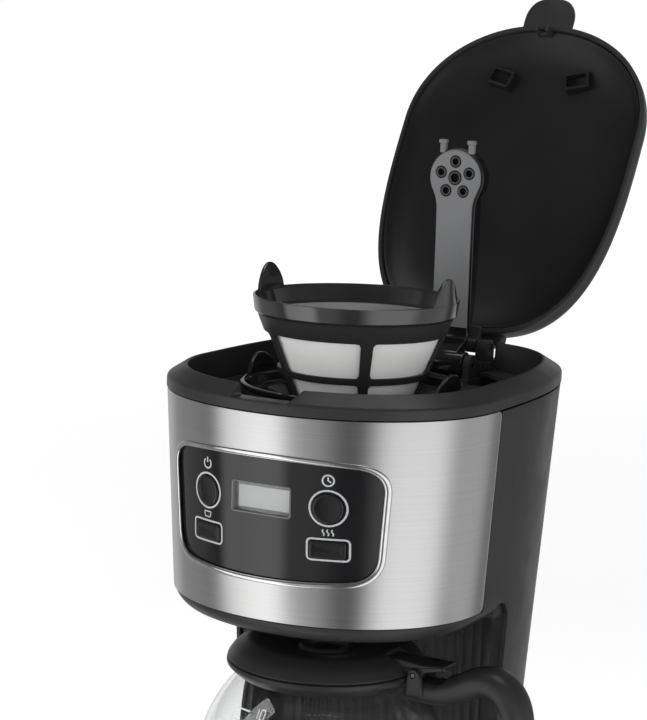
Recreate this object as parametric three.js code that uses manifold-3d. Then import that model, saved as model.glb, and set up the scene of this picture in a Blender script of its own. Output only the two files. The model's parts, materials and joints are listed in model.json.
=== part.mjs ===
// Drip coffee maker with an open lid, a lifted cone filter and a glass carafe.
// Millimetres, +Z up, front = -Y. Plan centre of the head is x = 0, y = 0 before the origin shift.
import * as THREE from "three";
import { mergeVertices } from "three/addons/utils/BufferGeometryUtils.js";
import Module from "manifold-3d";

const wasm = await Module();
wasm.setup();

// ---------- driving dimensions ----------
const GAP = 0.3; // clearance between pieces that touch
const head = { halfWidth: 100, front: 87, rear: 168, crestZ: 330, bandTopZ: 316.9, bandBottomZ: 200.6, bottomZ: 190 };
const outlinePower = { front: 2.06, rear: 3.0 };
const taperPerMm = 0.000568; // the body narrows downwards from the top of the steel band
const tower = { waistZ: 120, wallFrontY: 45, wall: 2.5 };
const seamY = 7.6; // the steel band ends here at each side, and the rear housing starts
const base = { halfWidth: 95, front: 92, rear: 159.6, bottomZ: 5, topZ: 44, wall: 2.6 };
const lidDims = { halfWidth: 83.4, front: 73.3, rear: 147.4, edgeZ: 325.3, openDeg: 120.3 };
const lidPivot = { y: 156, z: 326.4 };
const arm = { pivotY: 134, pivotZ: 318, headY: 20.6, headRadius: 17, neckHalf: 11.7, openDeg: 90 };
const basketAxis = { x: 0, y: 18 };
const outlet = { x: 0, y: 8 };
const filterLift = 48; // how far the filter is held above its seat
const filterRimZ = 322;
const carafeAxis = { x: 0, y: -4 };
const carafeSphere = { radius: 73, z: 98 };
const leverPin = { x: 62, z: 163.6 };
const panel = { topZ: 292.3, bottomZ: 225.2, topHalf: 66.6, bottomHalf: 62.2, cornerRadius: 14, bow: 0.1 };
const display = { width: 37, height: 17.5, z: 268.7 };
const button = { x: 38, roundZ: 267.7, roundRadius: 8.5, rectZ: 244.6, rectWidth: 20, rectHeight: 9.5 };
const buttonYawDeg = 19.7;
const bandTiltDeg = 2.8;
const originShift = { x: -16, y: -96 }; // moves the bottom centre of the bounding box to the origin

// ---------- materials ----------
const paint = (color, roughness, metalness = 0) => new THREE.MeshStandardMaterial({ color, roughness, metalness });
const satinBlack = paint(0x1b1b1c, 0.45);
const glossBlack = paint(0x0c0c0d, 0.12);
const brushedSteel = paint(0xb9b9b7, 0.32, 1);
const darkGrey = paint(0x5b5c5e, 0.4);
const lightGrey = paint(0xb9bdbd, 0.3);
const rubber = paint(0x151515, 0.85);
const zinc = paint(0xa6a8a8, 0.4, 1);
const whitePlastic = paint(0xe4e2dc, 0.5);
const silicone = paint(0xd9d6cc, 0.6);
const boardGreen = paint(0x1f5a35, 0.6);
const nonStick = paint(0x1d1c1b, 0.5, 0.3);
const meshGold = paint(0x9d9a92, 0.45, 0.8);
const glass = new THREE.MeshStandardMaterial({ color: 0xdfe6e6, roughness: 0.05, transparent: true, opacity: 0.35 });

// ---------- solids ----------
/** Welds a geometry to positions only, drops flat triangles and turns its faces outwards. */
function closed(geometry) {
  const bare = new THREE.BufferGeometry();
  bare.setAttribute("position", geometry.getAttribute("position").clone());
  if (geometry.index) bare.setIndex(geometry.index.clone());
  const merged = mergeVertices(bare, 1e-4);
  const index = merged.index.array;
  const kept = [];
  for (let i = 0; i < index.length; i += 3) {
    const [a, b, c] = [index[i], index[i + 1], index[i + 2]];
    if (a !== b && b !== c && c !== a) kept.push(a, b, c);
  }
  if (signedVolume(merged.getAttribute("position"), kept) < 0) {
    for (let i = 0; i < kept.length; i += 3) [kept[i], kept[i + 1]] = [kept[i + 1], kept[i]];
  }
  merged.setIndex(kept);
  return merged;
}

function signedVolume(position, index) {
  const [a, b, c] = [new THREE.Vector3(), new THREE.Vector3(), new THREE.Vector3()];
  let volume = 0;
  for (let i = 0; i < index.length; i += 3) {
    a.fromBufferAttribute(position, index[i]);
    b.fromBufferAttribute(position, index[i + 1]);
    c.fromBufferAttribute(position, index[i + 2]);
    volume += a.dot(b.cross(c)) / 6;
  }
  return volume;
}

function toManifold(geometry) {
  const g = closed(geometry);
  const vertProperties = new Float32Array(g.getAttribute("position").array);
  return new wasm.Manifold(new wasm.Mesh({ numProp: 3, vertProperties, triVerts: new Uint32Array(g.index.array) }));
}

function fromManifold(solid) {
  const mesh = solid.getMesh();
  const g = new THREE.BufferGeometry();
  g.setAttribute("position", new THREE.BufferAttribute(new Float32Array(mesh.vertProperties), 3));
  g.setIndex(Array.from(mesh.triVerts));
  return g;
}

const cut = (geometry, ...tools) => fromManifold(tools.reduce((s, t) => s.subtract(toManifold(t)), toManifold(geometry)));
const join = (geometry, ...more) => fromManifold(more.reduce((s, t) => s.add(toManifold(t)), toManifold(geometry)));
const common = (a, b) => fromManifold(toManifold(a).intersect(toManifold(b)));

/** Joins rings of points, each ring closed on itself; the last ring meets the first if joinEnds is true. */
function skin(rings, joinEnds, cap = []) {
  const n = rings[0].length;
  const index = [];
  const spans = joinEnds ? rings.length : rings.length - 1;
  for (let i = 0; i < spans; i++) {
    const next = (i + 1) % rings.length;
    for (let j = 0; j < n; j++) {
      const k = (j + 1) % n;
      index.push(i * n + j, next * n + j, next * n + k, i * n + j, next * n + k, i * n + k);
    }
  }
  const last = (rings.length - 1) * n;
  for (const [a, b, c] of cap) index.push(a, b, c, last + a, last + c, last + b);
  const g = new THREE.BufferGeometry();
  g.setAttribute("position", new THREE.Float32BufferAttribute(rings.flat(2), 3));
  g.setIndex(index);
  return closed(g);
}

/** Turns a profile of [radius, z] points about a vertical axis at the given centre. */
function turned(profile, centre = { x: 0, y: 0 }, segments = 24) {
  const g = new THREE.LatheGeometry([...profile, profile[0]].map(([r, z]) => new THREE.Vector2(r, z)), segments);
  return closed(g.rotateX(Math.PI / 2).translate(centre.x, centre.y, 0));
}

const prismZ = (shape, z0, z1) =>
  new THREE.ExtrudeGeometry(shape, { depth: z1 - z0, bevelEnabled: false, curveSegments: 6 }).translate(0, 0, z0);
const prismY = (shapeXZ, y0, y1) =>
  new THREE.ExtrudeGeometry(shapeXZ, { depth: y1 - y0, bevelEnabled: false, curveSegments: 6 })
    .rotateX(Math.PI / 2).translate(0, y1, 0);
const yzFromXy = new THREE.Matrix4().makeBasis(
  new THREE.Vector3(0, 1, 0), new THREE.Vector3(0, 0, 1), new THREE.Vector3(1, 0, 0));
const prismX = (shapeYZ, x0, x1) =>
  new THREE.ExtrudeGeometry(shapeYZ, { depth: x1 - x0, bevelEnabled: false, curveSegments: 6 })
    .translate(0, 0, x0).applyMatrix4(yzFromXy);
const box = (x0, x1, y0, y1, z0, z1) =>
  new THREE.BoxGeometry(x1 - x0, y1 - y0, z1 - z0).translate((x0 + x1) / 2, (y0 + y1) / 2, (z0 + z1) / 2);
const rodX = (x0, x1, y, z, r, sides = 16) =>
  new THREE.CylinderGeometry(r, r, x1 - x0, sides).rotateZ(Math.PI / 2).translate((x0 + x1) / 2, y, z);
const rodY = (y0, y1, x, z, r, sides = 16) =>
  new THREE.CylinderGeometry(r, r, y1 - y0, sides).translate(x, (y0 + y1) / 2, z);
const rodZ = (z0, z1, x, y, r, sides = 24) =>
  new THREE.CylinderGeometry(r, r, z1 - z0, sides).rotateX(Math.PI / 2).translate(x, y, (z0 + z1) / 2);

function polygon(points) {
  return new THREE.Shape(points.map(([u, v]) => new THREE.Vector2(u, v)));
}

/** A polygon whose corners are rounded by the given radius. */
function roundedPolygon(points, radius) {
  const shape = new THREE.Shape();
  points.forEach((p, i) => {
    const corner = new THREE.Vector2(...p);
    const before = new THREE.Vector2(...points[(i + points.length - 1) % points.length]);
    const after = new THREE.Vector2(...points[(i + 1) % points.length]);
    const from = corner.clone().add(before.sub(corner).setLength(radius));
    const to = corner.clone().add(after.sub(corner).setLength(radius));
    if (i === 0) shape.moveTo(from.x, from.y);
    else shape.lineTo(from.x, from.y);
    shape.quadraticCurveTo(corner.x, corner.y, to.x, to.y);
  });
  shape.closePath();
  return shape;
}

const roundedRect = (cu, cv, w, h, r) => roundedPolygon(
  [[cu - w / 2, cv - h / 2], [cu + w / 2, cv - h / 2], [cu + w / 2, cv + h / 2], [cu - w / 2, cv + h / 2]], r);

function circle(cu, cv, r) {
  const shape = new THREE.Shape();
  shape.absarc(cu, cv, r, 0, 2 * Math.PI);
  return shape;
}

/** A round tube through the given points. */
function tube(points, radius, steps, sides = 8) {
  const path = new THREE.CatmullRomCurve3(points.map((p) => new THREE.Vector3(...p)), false, "centripetal");
  const section = new THREE.Shape();
  for (let i = 0; i < sides; i++) {
    const angle = (2 * Math.PI * i) / sides;
    const [u, v] = [radius * Math.cos(angle), radius * Math.sin(angle)];
    if (i === 0) section.moveTo(u, v);
    else section.lineTo(u, v);
  }
  return new THREE.ExtrudeGeometry(section, { steps, extrudePath: path, bevelEnabled: false });
}

// ---------- plan outlines ----------
/** A point of an egg-shaped outline; angle 0 is the front, a quarter turn is +X. */
function outlinePoint(angle, halfWidth, front, rear) {
  const [s, c] = [Math.sin(angle), Math.cos(angle)];
  const power = 2 / (c > 0 ? outlinePower.front : outlinePower.rear);
  const y = c > 0 ? -front * Math.abs(c) ** power : rear * Math.abs(c) ** power;
  return [halfWidth * Math.sign(s) * Math.abs(s) ** power, y];
}

/** How wide the body is at a height, as a share of its width at the top of the steel band. */
function bodyScale(z) {
  const straight = (height) => 1 - taperPerMm * (head.bandTopZ - Math.min(height, head.bandTopZ));
  if (z >= tower.waistZ) return straight(z);
  const flare = Math.min((tower.waistZ - z) / (tower.waistZ - base.topZ), 1);
  const waist = straight(tower.waistZ);
  return waist + (base.halfWidth / head.halfWidth - waist) * flare ** 2;
}

function bodyPoint(angle, inset, z) {
  const s = bodyScale(z);
  return [...outlinePoint(angle, head.halfWidth * s - inset, head.front * s - inset, head.rear * s - inset), z];
}

/** The angle in degrees at which the outline's rear part is y behind its widest place. */
const angleAtY = (y) => 90 + THREE.MathUtils.radToDeg(Math.asin((y / head.rear) ** (outlinePower.rear / 2)));

/** Triangles over a profile that runs up one side and back down the other with as many points. */
function stripCap(count) {
  const cap = [];
  for (let i = 0; i < count / 2 - 1; i++) {
    cap.push([i, i + 1, count - 2 - i], [i, count - 2 - i, count - 1 - i]);
  }
  return cap;
}

/** Sweeps a closed profile of [inset, z] points along the body's outline. */
function bodySweep(profile, fromDeg = 0, toDeg = 360, segments = 36) {
  const whole = toDeg - fromDeg === 360;
  const rings = [];
  for (let i = 0; i < segments + (whole ? 0 : 1); i++) {
    const angle = THREE.MathUtils.degToRad(fromDeg + ((toDeg - fromDeg) * i) / segments);
    rings.push(profile.map(([inset, z]) => bodyPoint(angle, inset, z)));
  }
  return skin(rings, whole, whole ? [] : stripCap(profile.length));
}

/** Stacks outlines of [scale or inset, z] given by place(angle, value, z); the stack closes on itself. */
function stacked(profile, place, segments = 28) {
  const rings = profile.map(([value, z]) => Array.from({ length: segments }, (_, j) =>
    place((2 * Math.PI * j) / segments, value, z)));
  return skin(rings, true);
}

/** The body's outline between two heights as one solid block. */
function bodyBlock(inset, levels, segments = 24) {
  const centreY = 40;
  const rim = levels.map((z) => [inset, z]);
  return stacked([[null, levels[0]], ...rim, [null, levels.at(-1)]], (angle, value, z) =>
    (value === null ? [0, centreY, z] : bodyPoint(angle, value, z)), segments);
}

/** The outline of the control panel, grown by margin; its top and bottom edges bow outwards. */
function panelShape(margin) {
  const corners = roundedPolygon([
    [-panel.bottomHalf - margin, panel.bottomZ - margin], [panel.bottomHalf + margin, panel.bottomZ - margin],
    [panel.topHalf + margin, panel.topZ + margin], [-panel.topHalf - margin, panel.topZ + margin],
  ], panel.cornerRadius + margin).getPoints(6);
  const middle = (panel.topZ + panel.bottomZ) / 2;
  const bowed = (p) => new THREE.Vector2(p.x, middle + (p.y - middle) * (1 - panel.bow * (p.x / panel.topHalf) ** 2));
  return new THREE.Shape(corners.flatMap((p, i) => {
    const next = corners[(i + 1) % corners.length];
    const gap = p.distanceTo(next);
    const parts = gap < 1e-6 ? 0 : Math.max(Math.round(gap / 16), 1);
    return Array.from({ length: parts }, (_, k) => bowed(p.clone().lerp(next, k / parts)));
  }));
}

// ---------- scene graph ----------
const model = new THREE.Group();
const machine = new THREE.Group();
machine.position.set(originShift.x, originShift.y, 0);
model.add(machine);

function piece(name, geometry, material, parent = machine) {
  const mesh = new THREE.Mesh(closed(geometry), material);
  mesh.name = name;
  parent.add(mesh);
  return mesh;
}

/** A group that turns about an X axis through y, z; pieces inside keep the machine's coordinates. */
function turnedGroup(y, z, degrees) {
  const pivot = new THREE.Group();
  pivot.position.set(0, y, z);
  pivot.rotation.x = -THREE.MathUtils.degToRad(degrees);
  const contents = new THREE.Group();
  contents.position.set(0, -y, -z);
  pivot.add(contents);
  machine.add(pivot);
  return contents;
}

// ---------- base ----------
function basePoint(angle, inset, z) {
  return [...outlinePoint(angle, base.halfWidth - inset, base.front - inset, base.rear - inset), z];
}
const baseCentre = (z) => [0, 34, z];

function buildBase() {
  const place = (angle, inset, z) => (inset === null ? baseCentre(z) : basePoint(angle, inset, z));
  const w = base.wall;
  const shell = stacked([
    [3, base.bottomZ], [0, 10], [0, 36], [1.4, 41], [5, base.topZ], [null, base.topZ],
    [null, base.topZ - w], [6.5, base.topZ - w], [w, 37], [w, 10.5], [w + 2.4, base.bottomZ],
  ], place);
  const plateHole = rodZ(30, 50, carafeAxis.x, carafeAxis.y, 58.2, 48);
  const pipeHole = box(-26, 42, 79, 126, 30, 50);
  const glandHole = rodY(140, 170, -30, 22, 5.1);
  piece("base_housing", cut(shell, plateHole, pipeHole, glandHole), satinBlack);
  const bottom = stacked([[null, 6], [5.8, 6], [5.8, 8.6], [null, 8.6]], place);
  piece("base_plate", bottom, satinBlack);
  const spots = { front_left: [-58, -52], front_right: [58, -52], rear_left: [-58, 110], rear_right: [58, 110] };
  for (const [corner, [x, y]] of Object.entries(spots)) {
    piece(`foot_${corner}`, turned([[0, 0], [8, 0], [9, 1], [9, 5.7], [0, 5.7]], { x, y }, 14), rubber);
    piece(`base_screw_${corner}`, turned([[0, 3.6], [3.4, 3.6], [3.6, 4.2], [3.6, 5.7], [0, 5.7]],
      { x: x * 0.72, y: y * 0.86 }, 8), zinc);
  }
  piece("warming_plate", turned([[0, 46], [58, 46], [60.5, 45.5], [60.5, 44.4], [57.6, 44.3], [57.6, 39],
    [56.4, 39], [56.4, 44.2], [0, 44.2]], carafeAxis), nonStick);
  const gland = join(rodY(148, 160, -30, 22, 4.7), rodY(159.9, 164, -30, 22, 7.5), rodY(163.9, 168, -30, 22, 5.6));
  piece("cord_gland", cut(gland, rodY(140, 180, -30, 22, 3.2)), satinBlack);
}

function buildHeating() {
  const loop = [[-16, 62, 31]];
  const steps = 12;
  for (let i = 0; i <= steps; i++) {
    const angle = THREE.MathUtils.degToRad(112 + (316 * i) / steps);
    loop.push([carafeAxis.x + 42 * Math.cos(angle), carafeAxis.y + 42 * Math.sin(angle), 31]);
  }
  loop.push([16, 62, 31]);
  piece("heater_tube", tube(loop, 4.8, 28), zinc);
  piece("heater_bracket", box(-50, 50, -9, 1, 23, 25.7), zinc);
  piece("thermostat", turned([[0, 31], [9, 31], [9, 36], [5, 38.6], [0, 38.6]], { x: 0, y: 10 }, 20), zinc);
  piece("thermal_fuse", rodX(-14, 14, -22, 35, 3.2, 12), whitePlastic);
  piece("check_valve", rodY(62.6, 73.6, 16, 31, 6.2, 16), whitePlastic);
  piece("cold_hose", tube([[16, 74, 31], [17, 88, 31], [25, 106, 34], [30, 112, 44], [30, 113, 54.6]], 5, 16), silicone);
  piece("riser_tube", tube([[-16, 62.8, 31], [-14, 78, 32], [-4, 91, 46], [0, 93, 70], [0, 93, 290],
    [0, 95, 301], [0, 104, 305.3], [0, 125.4, 305.3]], 3.8, 28), silicone);
}

// ---------- tower and head ----------
function buildTower() {
  const t = tower.wall;
  const levels = [base.topZ + GAP, 66, 92, tower.waistZ, head.bandTopZ - GAP];
  const start = angleAtY(seamY + 0.4);
  const wall = bodySweep([...levels.map((z) => [0, z]), ...levels.toReversed().map((z) => [t, z])], start, 360 - start, 20);
  const bay = prismX(roundedCornerBay(tower.wallFrontY, head.bandBottomZ), -130, 130);
  piece("rear_housing", cut(wall, bay), satinBlack);

  const inside = [[-81, 48.5], [-76, 70], [-70, 75.2]];
  const right = inside.map(([x, y]) => [-x, y]).toReversed();
  const outside = [[84, 48.5], [79, 71.5], [71.5, 78.2], [-71.5, 78.2], [-79, 71.5], [-84, 48.5]];
  const wallPlan = [...inside, ...right, ...outside];
  piece("front_wall", prismZ(polygon(wallPlan), base.topZ + GAP, head.bottomZ - GAP), satinBlack);

  const tankLevels = [58, 80, tower.waistZ, 296];
  const behind = (y) => box(-120, 120, y, 200, 0, 400);
  const tankOuter = common(bodyBlock(5, tankLevels), behind(100));
  const innerLevels = [60, 80, tower.waistZ, 297];
  const tankInner = common(bodyBlock(7, innerLevels), behind(102));
  piece("reservoir", cut(tankOuter, tankInner, rodZ(50, 65, 30, 113, 4)), whitePlastic);
}

/** The empty carafe bay in side view: everything in front of y and below z, with a rounded inner corner. */
function roundedCornerBay(y, z) {
  const corner = 14;
  const shape = new THREE.Shape();
  shape.moveTo(-200, -10);
  shape.lineTo(y, -10);
  shape.lineTo(y, z - corner);
  shape.quadraticCurveTo(y, z, y - corner, z);
  shape.lineTo(-200, z);
  shape.closePath();
  return shape;
}

function buildHead() {
  const top = head.bandTopZ - GAP;
  const bottom = head.bandBottomZ + GAP;
  const end = angleAtY(seamY - 0.4);
  const front = { from: -end, to: end, segments: 22 };
  const frontSweep = (outer, inner, z0, z1) =>
    bodySweep([[outer, z0], [outer, z1], [inner, z1], [inner, z0]], front.from, front.to, front.segments);
  const panelTool = (margin) => prismY(panelShape(margin), -130, -30);

  piece("steel_band", cut(frontSweep(0, 1.2, bottom, top), panelTool(0)), brushedSteel);
  piece("head_shell", cut(frontSweep(1.5, 3.5, bottom, 312), panelTool(GAP)), satinBlack);
  const bead = common(frontSweep(-1.4, -GAP, 215, 303), panelTool(3.2));
  piece("panel_trim", cut(bead, panelTool(0.2)), brushedSteel);

  const underside = (angle, inset, z) => (inset === null ? [0, 20, z] : bodyPoint(angle, inset, z));
  const skirt = stacked([[1.2, bottom - GAP - 0.2], [2.4, 196], [6, 192.4], [11, head.bottomZ], [null, head.bottomZ],
    [null, 192.4], [12, 192.4], [8, 194.6], [5, 196], [4, bottom - GAP - 0.2]], underside, 32);
  const sideCut = (side) => box(...[side * 85, side * 130].sort((a, b) => a - b), tower.wallFrontY - 15, 200, 150, 250);
  const rearCut = box(-130, 130, 74.5, 220, 150, 250);
  const outletHole = rodZ(180, 200, outlet.x, outlet.y, 24);
  piece("head_underside", cut(skirt, sideCut(1), sideCut(-1), rearCut, outletHole), satinBlack);

  const ringProfile = [[-0.4, 317.2], [-0.4, 323.2], [0.5, 324.3], [8.8, 329.3], [9.9, head.crestZ], [10.9, 329.5],
    [11.4, 328.2], [12.3, 304], [10.3, 304], [9.2, 313.5], [4, 317.2]];
  const tabNotch = box(-21, 21, -95, -60, 323, 340);
  const hingeNotch = box(-26, 26, 140, 180, 318, 340);
  piece("top_ring", cut(bodySweep(ringProfile), tabNotch, hingeNotch), satinBlack);

  const deck = stacked([[null, 310], [12.9, 310], [12.9, 313], [null, 313]], underside);
  const well = turned([[63.4, 317.2], [66, 317.2], [66, 200], [0, 200], [0, 202.5], [63.4, 202.5]], basketAxis);
  const fillHole = join(common(bodyBlock(26, [300, 320]), box(-90, 90, 92, 146, 300, 320)),
    box(-24, 24, 120, 147, 300, 320));
  const chamber = join(cut(deck, rodZ(300, 320, basketAxis.x, basketAxis.y, 65), fillHole), well);
  piece("brew_chamber", cut(chamber, rodZ(190, 210, outlet.x, outlet.y, 14)), satinBlack);
}

/** A group whose -Y axis looks straight out of the steel band at the given side (-1 left, 1 right). */
function buttonGroup(side, z) {
  const s = bodyScale(z);
  const recess = 1.6;
  const ratio = button.x / (head.halfWidth * s);
  const y = -(head.front * s - recess) * (1 - ratio ** outlinePower.front) ** (1 / outlinePower.front);
  const group = new THREE.Group();
  group.position.set(side * button.x, y, z);
  group.rotation.set(THREE.MathUtils.degToRad(bandTiltDeg), 0, THREE.MathUtils.degToRad(side * buttonYawDeg), "ZXY");
  group.updateMatrix();
  return group;
}

function buildPanel() {
  const slab = (outer, inner) =>
    bodySweep([[outer, 218], [outer, 300], [inner, 300], [inner, 218]], -50, 50, 10);
  const caps = {
    power_button: [-1, button.roundZ, circle(0, 0, button.roundRadius), circle(0, 0, button.roundRadius + GAP)],
    prog_button: [1, button.roundZ, circle(0, 0, button.roundRadius), circle(0, 0, button.roundRadius + GAP)],
    brew_button: [-1, button.rectZ, roundedRect(0, 0, button.rectWidth, button.rectHeight, 2),
      roundedRect(0, 0, button.rectWidth + 2 * GAP, button.rectHeight + 2 * GAP, 2.2)],
    warm_button: [1, button.rectZ, roundedRect(0, 0, button.rectWidth, button.rectHeight, 2),
      roundedRect(0, 0, button.rectWidth + 2 * GAP, button.rectHeight + 2 * GAP, 2.2)],
  };
  const holes = [prismY(roundedRect(-0.5, display.z, display.width, display.height, 1.2), -130, -40)];
  for (const [name, [side, z, cap, hole]] of Object.entries(caps)) {
    const group = buttonGroup(side, z);
    machine.add(group);
    piece(name, prismY(cap, -0.9, 4.2), glossBlack, group);
    holes.push(prismY(hole, -20, 20).applyMatrix4(group.matrix));
  }
  const plate = common(slab(1.6, 4.2), prismY(panelShape(-GAP), -130, -30));
  piece("control_panel", cut(plate, ...holes), glossBlack);
  const windowShape = roundedRect(-0.5, display.z, display.width - 2 * GAP, display.height - 2 * GAP, 1);
  piece("display_window", common(slab(2.6, 3.8), prismY(windowShape, -130, -40)), lightGrey);
  piece("lcd_module", box(-19.5, 18.5, -77.4, -66, display.z - 9.5, display.z + 9.5), darkGrey);
  piece("control_board", box(-50, 50, -65.6, -64, 236, 284), boardGreen);
}

// ---------- lid, its hinge and the water spout ----------
function buildHinge() {
  const plate = box(-26, 26, 146.8, 153.6, 313.4, 318.2);
  const lug = (side) => {
    const [x0, x1] = [side * 15, side * 23].sort((a, b) => a - b);
    const z = lidPivot.z;
    return join(box(x0, x1, 149.5, 160, 314, z), rodX(x0, x1, lidPivot.y - 1.2, z, 5, 16));
  };
  const bracket = join(plate, lug(1), lug(-1));
  piece("hinge_bracket", cut(bracket, box(-30, 30, 153.6, 165, 300, 318.4), rodX(-40, 40, lidPivot.y, lidPivot.z, 2.4, 12)),
    satinBlack);
  piece("hinge_pin", rodX(-22.5, 22.5, lidPivot.y, lidPivot.z, 2, 12), zinc);

  const lugAt = (x) => join(box(x - 2.3, x + 2.3, 128, 140, 303, 318), rodX(x - 2.3, x + 2.3, arm.pivotY, arm.pivotZ, 6, 16));
  const socket = join(box(-22, 22, 126, 146.5, 301.2, 309.3), box(-22, 22, 143, 146.5, 305, 318), lugAt(19), lugAt(-19));
  piece("spout_socket", cut(socket, rodX(-30, 30, arm.pivotY, arm.pivotZ, 2.4, 12)), satinBlack);
  piece("spout_pin", rodX(-21.3, 21.3, arm.pivotY, arm.pivotZ, 2, 12), zinc);
}

function buildLid() {
  const lid = turnedGroup(lidPivot.y, lidPivot.z, lidDims.openDeg);
  const middle = (lidDims.rear - lidDims.front) / 2;
  const place = (angle, share, z) => {
    const [x, y] = outlinePoint(angle, lidDims.halfWidth, lidDims.front, lidDims.rear);
    return [x * share, middle + (y - middle) * share, z];
  };
  const edge = lidDims.edgeZ;
  const dome = stacked([[0, 349], [0.4, 348.6], [0.7, 347], [0.88, 344.6], [0.955, 341.6], [0.99, 337], [1, 331],
    [1, edge], [0.972, edge], [0.963, 330], [0.91, 334.6], [0.8, 339.2], [0.63, 343.1], [0.4, 345.7], [0, 346.7]], place);
  const tab = new THREE.Shape();
  tab.moveTo(-17, -68);
  tab.lineTo(-17, -82);
  tab.quadraticCurveTo(-16, -93, 0, -93.5);
  tab.quadraticCurveTo(16, -93, 17, -82);
  tab.lineTo(17, -68);
  tab.closePath();
  const shelf = cut(prismZ(tab, edge, edge + 3.6), box(-30, 30, -71.6, -50, 300, 360));
  const flange = join(box(-13.5, 13.5, 143.5, 156, 324, 328.6), rodX(-13.5, 13.5, lidPivot.y, lidPivot.z, 4.4, 16));
  const pinHole = rodX(-40, 40, lidPivot.y, lidPivot.z, 2.4, 12);
  piece("lid_shell", cut(join(dome, shelf, flange), pinHole), satinBlack, lid);
  const liner = stacked([[0, 346.2], [0.4, 345.2], [0.63, 342.6], [0.8, 338.7], [0.905, 334.2], [0.955, 330],
    [0.94, 329.6], [0.885, 333.6], [0.79, 337.4], [0.62, 341.3], [0.4, 343.9], [0, 344.9]], place);
  piece("lid_liner", liner, glossBlack, lid);
  const hook = polygon([[-4.6, -69], [4.6, -69], [4.6, -65], [3.2, -65], [3.2, -67], [-3.2, -67],
    [-3.2, -65], [-4.6, -65]]);
  piece("lid_latch", prismZ(hook, 318.5, 328.6), satinBlack, lid);
}

function buildSpoutArm() {
  const group = turnedGroup(arm.pivotY, arm.pivotZ, arm.openDeg);
  const channel = polygon([[141, 318], [138.5, 322.5], [132, 325.6], [116, 333], [104, 338], [60, 341], [36, 341], [36, 327.6],
    [120, 327.6], [127, 314], [134, 311]]);
  const bar = prismX(channel, -11.2, 11.2);
  const headDisc = rodZ(327.6, 339.5, 0, arm.headY, arm.headRadius, 32);
  const barrel = rodX(-16.2, 16.2, arm.pivotY, arm.pivotZ, 7.4, 20);
  piece("spout_arm", cut(join(bar, headDisc, barrel), rodX(-40, 40, arm.pivotY, arm.pivotZ, 2.4, 12)), glossBlack, group);
  const neck = box(-arm.neckHalf, arm.neckHalf, 24, 113, 325.3, 327.3);
  const disc = rodZ(325.3, 327.3, 0, arm.headY, arm.headRadius, 32);
  const holes = [rodZ(320, 330, 0, arm.headY, 2.6, 12)];
  const count = 5;
  for (let i = 0; i < count; i++) {
    const angle = (2 * Math.PI * i) / count;
    holes.push(rodZ(320, 330, 10 * Math.sin(angle), arm.headY - 10 * Math.cos(angle), 1.7, 6));
  }
  piece("spout_cover", cut(join(neck, disc), ...holes), darkGrey, group);
}

// ---------- filter and basket ----------
/** A shallow wedge about the basket's axis between two angles measured from the front. */
function wedge(fromDeg, toDeg, inner, outer, z0, z1) {
  const points = [];
  const steps = 2;
  const at = (deg, r) => {
    const a = THREE.MathUtils.degToRad(deg);
    return [basketAxis.x + r * Math.sin(a), basketAxis.y - r * Math.cos(a)];
  };
  for (let i = 0; i <= steps; i++) points.push(at(fromDeg + ((toDeg - fromDeg) * i) / steps, outer));
  for (let i = steps; i >= 0; i--) points.push(at(fromDeg + ((toDeg - fromDeg) * i) / steps, inner));
  return prismZ(polygon(points), z0, z1);
}

/** An upright rounded tab on one side of a round rim. */
function sideTab(side, x0, x1, halfWidth, z0, z1) {
  const y = basketAxis.y;
  const shape = new THREE.Shape();
  shape.moveTo(y - halfWidth, z0);
  shape.lineTo(y - halfWidth, z0 + 1);
  shape.bezierCurveTo(y - halfWidth, z1, y - halfWidth / 2, z1, y, z1);
  shape.bezierCurveTo(y + halfWidth / 2, z1, y + halfWidth, z1, y + halfWidth, z0 + 1);
  shape.lineTo(y + halfWidth, z0);
  shape.closePath();
  return prismX(shape, ...[side * x0, side * x1].sort((a, b) => a - b));
}

function buildFilter() {
  const group = new THREE.Group();
  group.position.z = filterLift;
  machine.add(group);
  const cone = turned([[59.2, filterRimZ], [57.9, 312.6], [56.2, 312.2], [33, 254], [31.5, 252.4], [28, 252.4], [28, 254.2],
    [31, 254.6], [54.4, 312], [57, filterRimZ]], basketAxis, 30);
  const ribs = 5;
  const ribHalfDeg = 4.4;
  const windows = [];
  for (let i = 0; i < ribs; i++) {
    const from = -36 + (360 / ribs) * i + ribHalfDeg;
    const to = from + 360 / ribs - 2 * ribHalfDeg;
    windows.push(wedge(from, to, 30, 70, 285, 302), wedge(from, to, 26, 70, 258.5, 281));
  }
  const tabs = [1, -1].map((side) => sideTab(side, 55.6, 57.8, 12, 316, 334));
  piece("filter_frame", join(cut(cone, ...windows), ...tabs), glossBlack, group);
  piece("filter_mesh", turned([[53.8, 311.4], [30.4, 255.2], [0, 255.2], [0, 255.9], [29.9, 255.9], [53.1, 311.4]],
    basketAxis, 30), meshGold, group);
}

function buildBasket() {
  const shell = turned([[65.5, 320], [65.5, 317.6], [62.6, 317.5], [62.6, 311], [59.4, 306], [42, 242.5], [36, 238.4],
    [0, 238.4], [0, 241], [35, 241], [40, 244], [57, 306], [57.2, 311.6], [60.1, 312], [60.6, 320]], basketAxis);
  const pipe = rodZ(186, 239, outlet.x, outlet.y, 11, 24);
  const bore = rodZ(180, 238.4, outlet.x, outlet.y, 9, 24);
  const drain = rodZ(230, 245, outlet.x, outlet.y, 5.5, 16);
  const ears = [1, -1].map((side) => sideTab(side, 61.4, 63.8, 13, 318.5, 330));
  piece("brew_basket", cut(join(cut(join(shell, pipe), bore), ...ears), drain), satinBlack);
}

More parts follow.
